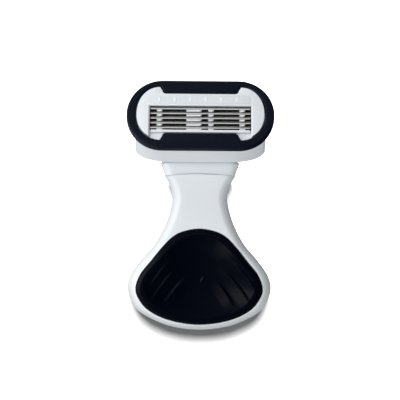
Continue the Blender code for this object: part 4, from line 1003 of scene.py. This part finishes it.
def ground_steel(name, base, shade, roughness):
    """Ground steel strip: satin, with lines and streaks along its length that scatter part of the light."""
    material = new_material(name, base)
    place = add_node(material, "TexCoord").outputs["Object"]
    stretch = add_node(
        material, "Mapping", {"Scale": (1 / ROLLING_STREAK, 1 / GRINDING_LINE, 1 / GRINDING_LINE)},
        {"Vector": place},
    )
    lines = add_node(material, "TexNoise", {"Scale": 1.0, "Detail": 2.0}, {"Vector": stretch})
    gloss = add_node(
        material, "MapRange", {"To Min": roughness + BRIGHTEST, "To Max": roughness + DULLEST},
        {"Value": lines},
    )
    return end_surface(material, base, shade, lines, gloss, {"Metallic": STEEL_SHINE, "Anisotropic": 0.5})


# Blade steel: the hardened strip grey, the ground edge painted near white as a highlight line, and the
# support painted nearly black as the shade between the blades
painted_highlight_edge_steel = ground_steel("painted_highlight_edge_steel", "F3F2EF", "E8E6E2", roughness=0.2)
hardened_strip_steel = ground_steel("hardened_strip_steel", "807F7D", "71706E", roughness=0.26)
painted_shade_support_steel = ground_steel("painted_shade_support_steel", "28292C", "1E1F22", roughness=0.45)

along = Vector((math.cos(BLADE_TILT), -math.sin(BLADE_TILT)))
under = Vector((-math.sin(BLADE_TILT), -math.cos(BLADE_TILT)))
blade_half = half_window - BLADE_END_GAP
for number in range(BLADE_COUNT):
    edge = Vector((blade_top_edge - number * BLADE_PITCH, -BLADE_SINK))
    back, belly = edge + along * BLADE_WIDTH, under * BLADE_THICKNESS
    grind = edge + along * BLADE_BEVEL
    section = [edge, grind + belly, back + belly, back, grind]
    blade = side_slab(f"ground_blade_{number + 1}", section, -blade_half, blade_half, hardened_strip_steel)
    # The ground edge's faces take the steel that is painted near white as a highlight
    blade.data.materials.append(painted_highlight_edge_steel)
    for face in blade.data.polygons:
        if len(face.vertices) == 4 and (Vector(face.center.yz) - edge).dot(along) < BLADE_BEVEL:
            face.material_index = 1
    fit_in_head(blade, f"blade_{number + 1}")
    # Each support is painted nearly black: the colour stands in for the shade in the gaps between the blades
    dress(f"blade_support_{number + 1}", painted_shade_support_steel)


# Face cover
# The white frame snapped over the blades: a cap above them and a wing at each end, with its inner edges
# chamfered so that they don't drag on the skin. It is moulded in the white blend.

WING_CHAMFER = 0.6 * MM
STRIP_GAP = 0.015 * MM
COVER_ROUNDING = 0.2 * MM
COVER_RELIEF = 0.4 * MM
EDGE_SEGMENTS = 2


def rounded_slab(name, outlines, low, high, rounding, material, segments=EDGE_SEGMENTS):
    """A flat plate with its edges rounded, from outlines of its outside and of its opening."""
    curve = bpy.data.curves.new(name, "CURVE")
    curve.dimensions = "2D"
    curve.fill_mode = "BOTH"
    curve.extrude = (high - low) / 2 - rounding
    curve.bevel_depth = rounding
    curve.bevel_resolution = segments
    curve.offset = -rounding
    for outline in outlines:
        spline = curve.splines.new("POLY")
        spline.points.add(len(outline) - 1)
        for point, (x, y) in zip(spline.points, outline):
            point.co = (x, y, 0, 1)
        spline.use_cyclic_u = True
    drawn = add_object(name + "_curve", curve)
    mesh = evaluated_mesh(drawn)
    bpy.data.objects.remove(drawn, do_unlink=True)
    bpy.data.curves.remove(curve)
    edit = bmesh.new()
    edit.from_mesh(mesh)
    bpy.data.meshes.remove(mesh)
    edit.transform(Matrix.Translation((0, 0, (low + high) / 2)))
    return finished(name, edit, material)


cover = rounded_slab(
    "cover", [opening_outline(FIT_GAP)], -COVER_THICKNESS, 0, COVER_ROUNDING, satin_white_blend,
)
right = [
    (half_window, -tray_top), (half_window, -WING_CHAMFER), (half_window + WING_CHAMFER, 0),
    (half_window + WING_CHAMFER, OVERRUN),
]
window = [(-x, w) for x, w in reversed(right)] + right
carve(cover, loft(
    "window_cut", [[(x, u, w) for x, w in window] for u in (-ring_height / 2, window_top)],
))
carve(cover, box(
    "cover_relief", half_bay, (-guard_edge, window_top + OVERRUN / 2),
    (-tray_top, COVER_RELIEF - COVER_THICKNESS),
))


def strip_outline(gap):
    """Outline of the glide strip, made larger by a gap."""
    low, high = (-half_window - gap, strip_low - gap), (half_window + gap, strip_high + gap)
    return rounded_rectangle(low, high, BAR_ROUNDING + gap, CORNER_STEPS)


carve(cover, slab("strip_cut", strip_outline(STRIP_GAP), -tray_top, OVERRUN))
fit_in_head(cover, "face_cover")


# Glide strip
# A strip of water-soluble polymer wax, extruded, cut to length and snapped into the cap. Six small pips of
# the wax stand in a row along it.

STRIP_PROUD = 0.04 * MM
STRIP_ROUNDING = 0.03 * MM
PIP_COUNT = 6
PIP_PITCH_SHARE = 0.1544
PIP_SHIFT = -0.8 * MM
PIP_WIDTH = 0.8 * MM
PIP_LENGTH = 1.8 * MM
PIP_HEIGHT = 0.1 * MM
PIP_ROUND_SHARE = 0.49

# Glide wax: cool white and a little cloudy, with a wet-looking soft gloss
cloudy_glide_wax = moulded_plastic(
    "cloudy_glide_wax", "DCE2E6", "D6DDE2", grain=0.8 * MM, roughness=0.32, ior=1.45, relief=0.1,
)

# Pip wax: the same wax, painted paler as a highlight on the pips
painted_highlight_pip_wax = moulded_plastic(
    "painted_highlight_pip_wax", "EAEFF2", "EAEFF2", grain=0.8 * MM, roughness=0.3, ior=1.45, relief=0.1,
)

strip = rounded_slab(
    "wax_strip", [strip_outline(0.0)], -COVER_THICKNESS, STRIP_PROUD, STRIP_ROUNDING, cloudy_glide_wax,
)
for number in range(PIP_COUNT):
    x = PIP_SHIFT + (number - (PIP_COUNT - 1) / 2) * PIP_PITCH_SHARE * WINDOW_WIDTH
    middle, reach = Vector((x, (strip_low + strip_high) / 2)), Vector((PIP_WIDTH, PIP_LENGTH)) / 2
    outline = rounded_rectangle(middle - reach, middle + reach, PIP_WIDTH * PIP_ROUND_SHARE, CORNER_STEPS)
    carve(strip, rounded_slab(
        "pip", [outline], -COVER_THICKNESS / 2, STRIP_PROUD + PIP_HEIGHT, PIP_HEIGHT / 2, painted_highlight_pip_wax,
    ), "UNION")
fit_in_head(strip, "glide_strip")


# Comfort ring
# The soft ring round the face, which stretches the skin: dark blue elastomer moulded over the tray, with a
# bar above and below the blades and all its edges well rounded.

RING_ROUNDING = 0.72 * MM
RING_SEGMENTS = 6

# Overmoulded elastomer: a flat dark navy whose rounded edges catch grey light
matt_navy_elastomer = elastomer(
    "matt_navy_elastomer", "0A1220", "060D19", grain=0.35 * MM, roughness=0.52, specular=0.18,
)

ring_quarter = rounded_end(ring_width / 2, ring_height / 2, ring_width / 2 - RING_END, RING_POWER, END_STEPS)
ring = rounded_slab(
    "soft_ring", [four_quarters(ring_quarter, ring_quarter), opening_outline(0.0)], -RING_THICKNESS, 0,
    RING_ROUNDING, matt_navy_elastomer, RING_SEGMENTS,
)
fit_in_head(ring, "comfort_ring")


# Table, lamps and camera
# The razor lies on a white studio table and is seen from straight above, from far enough to look flat. A
# softbox stands on its left, with lamps above it, beyond the head and low in front of the tail. The table
# has a lamp of its own, and what is glossy sees a studio that is bright on the left and dark on the right.

TABLE_SIZE = 1.6
PAPER_PALE = "D2D2D2"
PAPER_GREY = "606060"
WHITE = "FFFFFF"
# Painted reflection: how strongly the paper glows in glossy reflections, and where across X that glow is
# full and where it is gone
PAINTED_REFLECTION_PEAK = 1.3
PAINTED_REFLECTION_FULL_AT = -0.12
PAINTED_REFLECTION_NONE_AT = 0.03
CAMERA_DISTANCE = 0.65
PHOTO_WIDTH = 400
PIXEL = 0.34 * MM
SENSOR = 36.0
VIEW_CENTRE = (0.06 * MM, 17.0 * MM)
VIEW_ROLL = math.radians(0.45)
SKY_STRENGTH = 0.17
SKY_HIGH_GLOSS = 0.03
SKY_LOW_GLOSS = 0.6
SKY_LOW_REACH = 0.4
SKY_LEFT_SHARE = 2.2
SOFTBOX_POWER = 0.8
SOFTBOX_SIZE = 0.3
SOFTBOX_PLACE = (-0.26, 0.07, 0.2)
TABLE_LIGHT = 12.0
TABLE_LIGHT_TOWARD = (-0.02, 0.45, 0.89)
TABLE_LIGHT_DEGREES = 29
# Name, strength, the way to the lamp and its spread in degrees
RAZOR_LIGHTS = (
    ("top_light", 0.86, (-0.25, 0.4, 0.88), 14), ("back_light", 0.86, (-0.15, 0.94, 0.3), 30),
    ("front_light", 2.05, (0.3, -0.93, 0.2), 80),
)

# White paper: matt and even to the camera, which sees it pale, and its lamp lifts that to white; the razor
# gets no more than a grey of it.
# In glossy reflections it is a painted reflection: it glows, full on the left and fading to nothing towards
# the right
white_paper = new_material("white_paper", WHITE)
ray = add_node(white_paper, "LightPath")
tone = add_node(
    white_paper, "Mix", {"data_type": "RGBA", 6: linear(PAPER_GREY), 7: linear(PAPER_PALE)},
    {"Factor": ray.outputs["Is Camera Ray"]},
)
paper = add_node(white_paper, "BsdfDiffuse", None, {"Color": tone})
spot = add_node(white_paper, "NewGeometry").outputs["Position"]
across = add_node(white_paper, "SeparateXYZ", None, {"Vector": spot}).outputs["X"]
painted_reflection_strength = add_node(
    white_paper, "MapRange",
    {"From Min": PAINTED_REFLECTION_FULL_AT, "From Max": PAINTED_REFLECTION_NONE_AT, "To Min": PAINTED_REFLECTION_PEAK, "To Max": 0.0},
    {"Value": across},
)
painted_reflection_glow = add_node(white_paper, "Emission", {"Color": linear(WHITE)}, {"Strength": painted_reflection_strength})
seen = add_node(white_paper, "MixShader", None, {"Fac": ray.outputs["Is Glossy Ray"], 1: paper, 2: painted_reflection_glow})
add_node(white_paper, "OutputMaterial", links={"Surface": seen})

edit = bmesh.new()
bmesh.ops.create_grid(edit, x_segments=1, y_segments=1, size=TABLE_SIZE)
table = finished("table", edit, white_paper)

# The studio's walls: dim and even as light, brighter low and on the left in gloss, and white to the camera
world = bpy.data.worlds.new("studio")
world.use_nodes = True
sky = world.node_tree.nodes["Background"]
sky.inputs["Color"].default_value = linear(WHITE)
sky_ray = add_node(world, "LightPath")
sky_way = add_node(
    world, "SeparateXYZ", None, {"Vector": add_node(world, "TexCoord").outputs["Generated"]},
)
walls = add_node(
    world, "MapRange", {"From Max": SKY_LOW_REACH, "To Min": SKY_LOW_GLOSS, "To Max": SKY_HIGH_GLOSS},
    {"Value": sky_way.outputs["Z"]},
)
sides = add_node(
    world, "MapRange", {"From Min": -1.0, "To Min": SKY_LEFT_SHARE, "To Max": 0.0},
    {"Value": sky_way.outputs["X"]},
)
lit_walls = add_node(world, "Math", {"operation": "MULTIPLY"}, {0: walls, 1: sides})
dim = add_node(
    world, "MapRange", {"To Min": SKY_STRENGTH},
    {"Value": sky_ray.outputs["Is Glossy Ray"], "To Max": lit_walls},
)
shown = add_node(world, "MapRange", None, {"Value": sky_ray.outputs["Is Camera Ray"], "To Min": dim})
world.node_tree.links.new(shown.outputs["Result"], sky.inputs["Strength"])
bpy.context.scene.world = world


def light_group(name, *members):
    """A collection that a lamp's light is linked by."""
    group = bpy.data.collections.new(name)
    for member in members:
        group.objects.link(member)
    return group


# The razor's lamps are flagged off the table, which has a lamp of its own that only the handle shades
not_table = light_group("flagged_off", table)
not_table.collection_objects[0].light_linking.link_state = "EXCLUDE"


def lamp(name, kind, strength, toward, lit, place=(0, 0, 0.5)):
    """A lamp that shines from a direction on some of the pieces; a sun's place doesn't matter."""
    light = add_object(name, bpy.data.lights.new(name, kind))
    light.data.energy = strength
    light.location = place
    light.rotation_mode = "QUATERNION"
    light.rotation_quaternion = Vector(toward).to_track_quat("Z", "Y")
    light.light_linking.receiver_collection = lit
    return light


softbox = lamp("left_softbox", "AREA", SOFTBOX_POWER, SOFTBOX_PLACE, not_table, SOFTBOX_PLACE)
softbox.data.size = SOFTBOX_SIZE
for name, strength, toward, degrees in RAZOR_LIGHTS:
    light = lamp(name, "SUN", strength, toward, not_table)
    light.data.angle = math.radians(degrees)
    light.visible_glossy = False
table_light = lamp("table_light", "SUN", TABLE_LIGHT, TABLE_LIGHT_TOWARD, light_group("table_only", table))
table_light.data.angle = math.radians(TABLE_LIGHT_DEGREES)
handle_shade = light_group("handle_shade", back_shell, front_shell, thumb_pad)
table_light.light_linking.blocker_collection = handle_shade

camera = add_object("camera", bpy.data.cameras.new("camera"))
camera.data.sensor_width = SENSOR
camera.data.lens = SENSOR * CAMERA_DISTANCE / (PHOTO_WIDTH * PIXEL)
camera.location = (*VIEW_CENTRE, SEAM_HEIGHT + CAMERA_DISTANCE)
camera.rotation_euler = (0, 0, VIEW_ROLL)
bpy.context.scene.camera = camera

bpy.context.scene.view_settings.view_transform = "Standard"
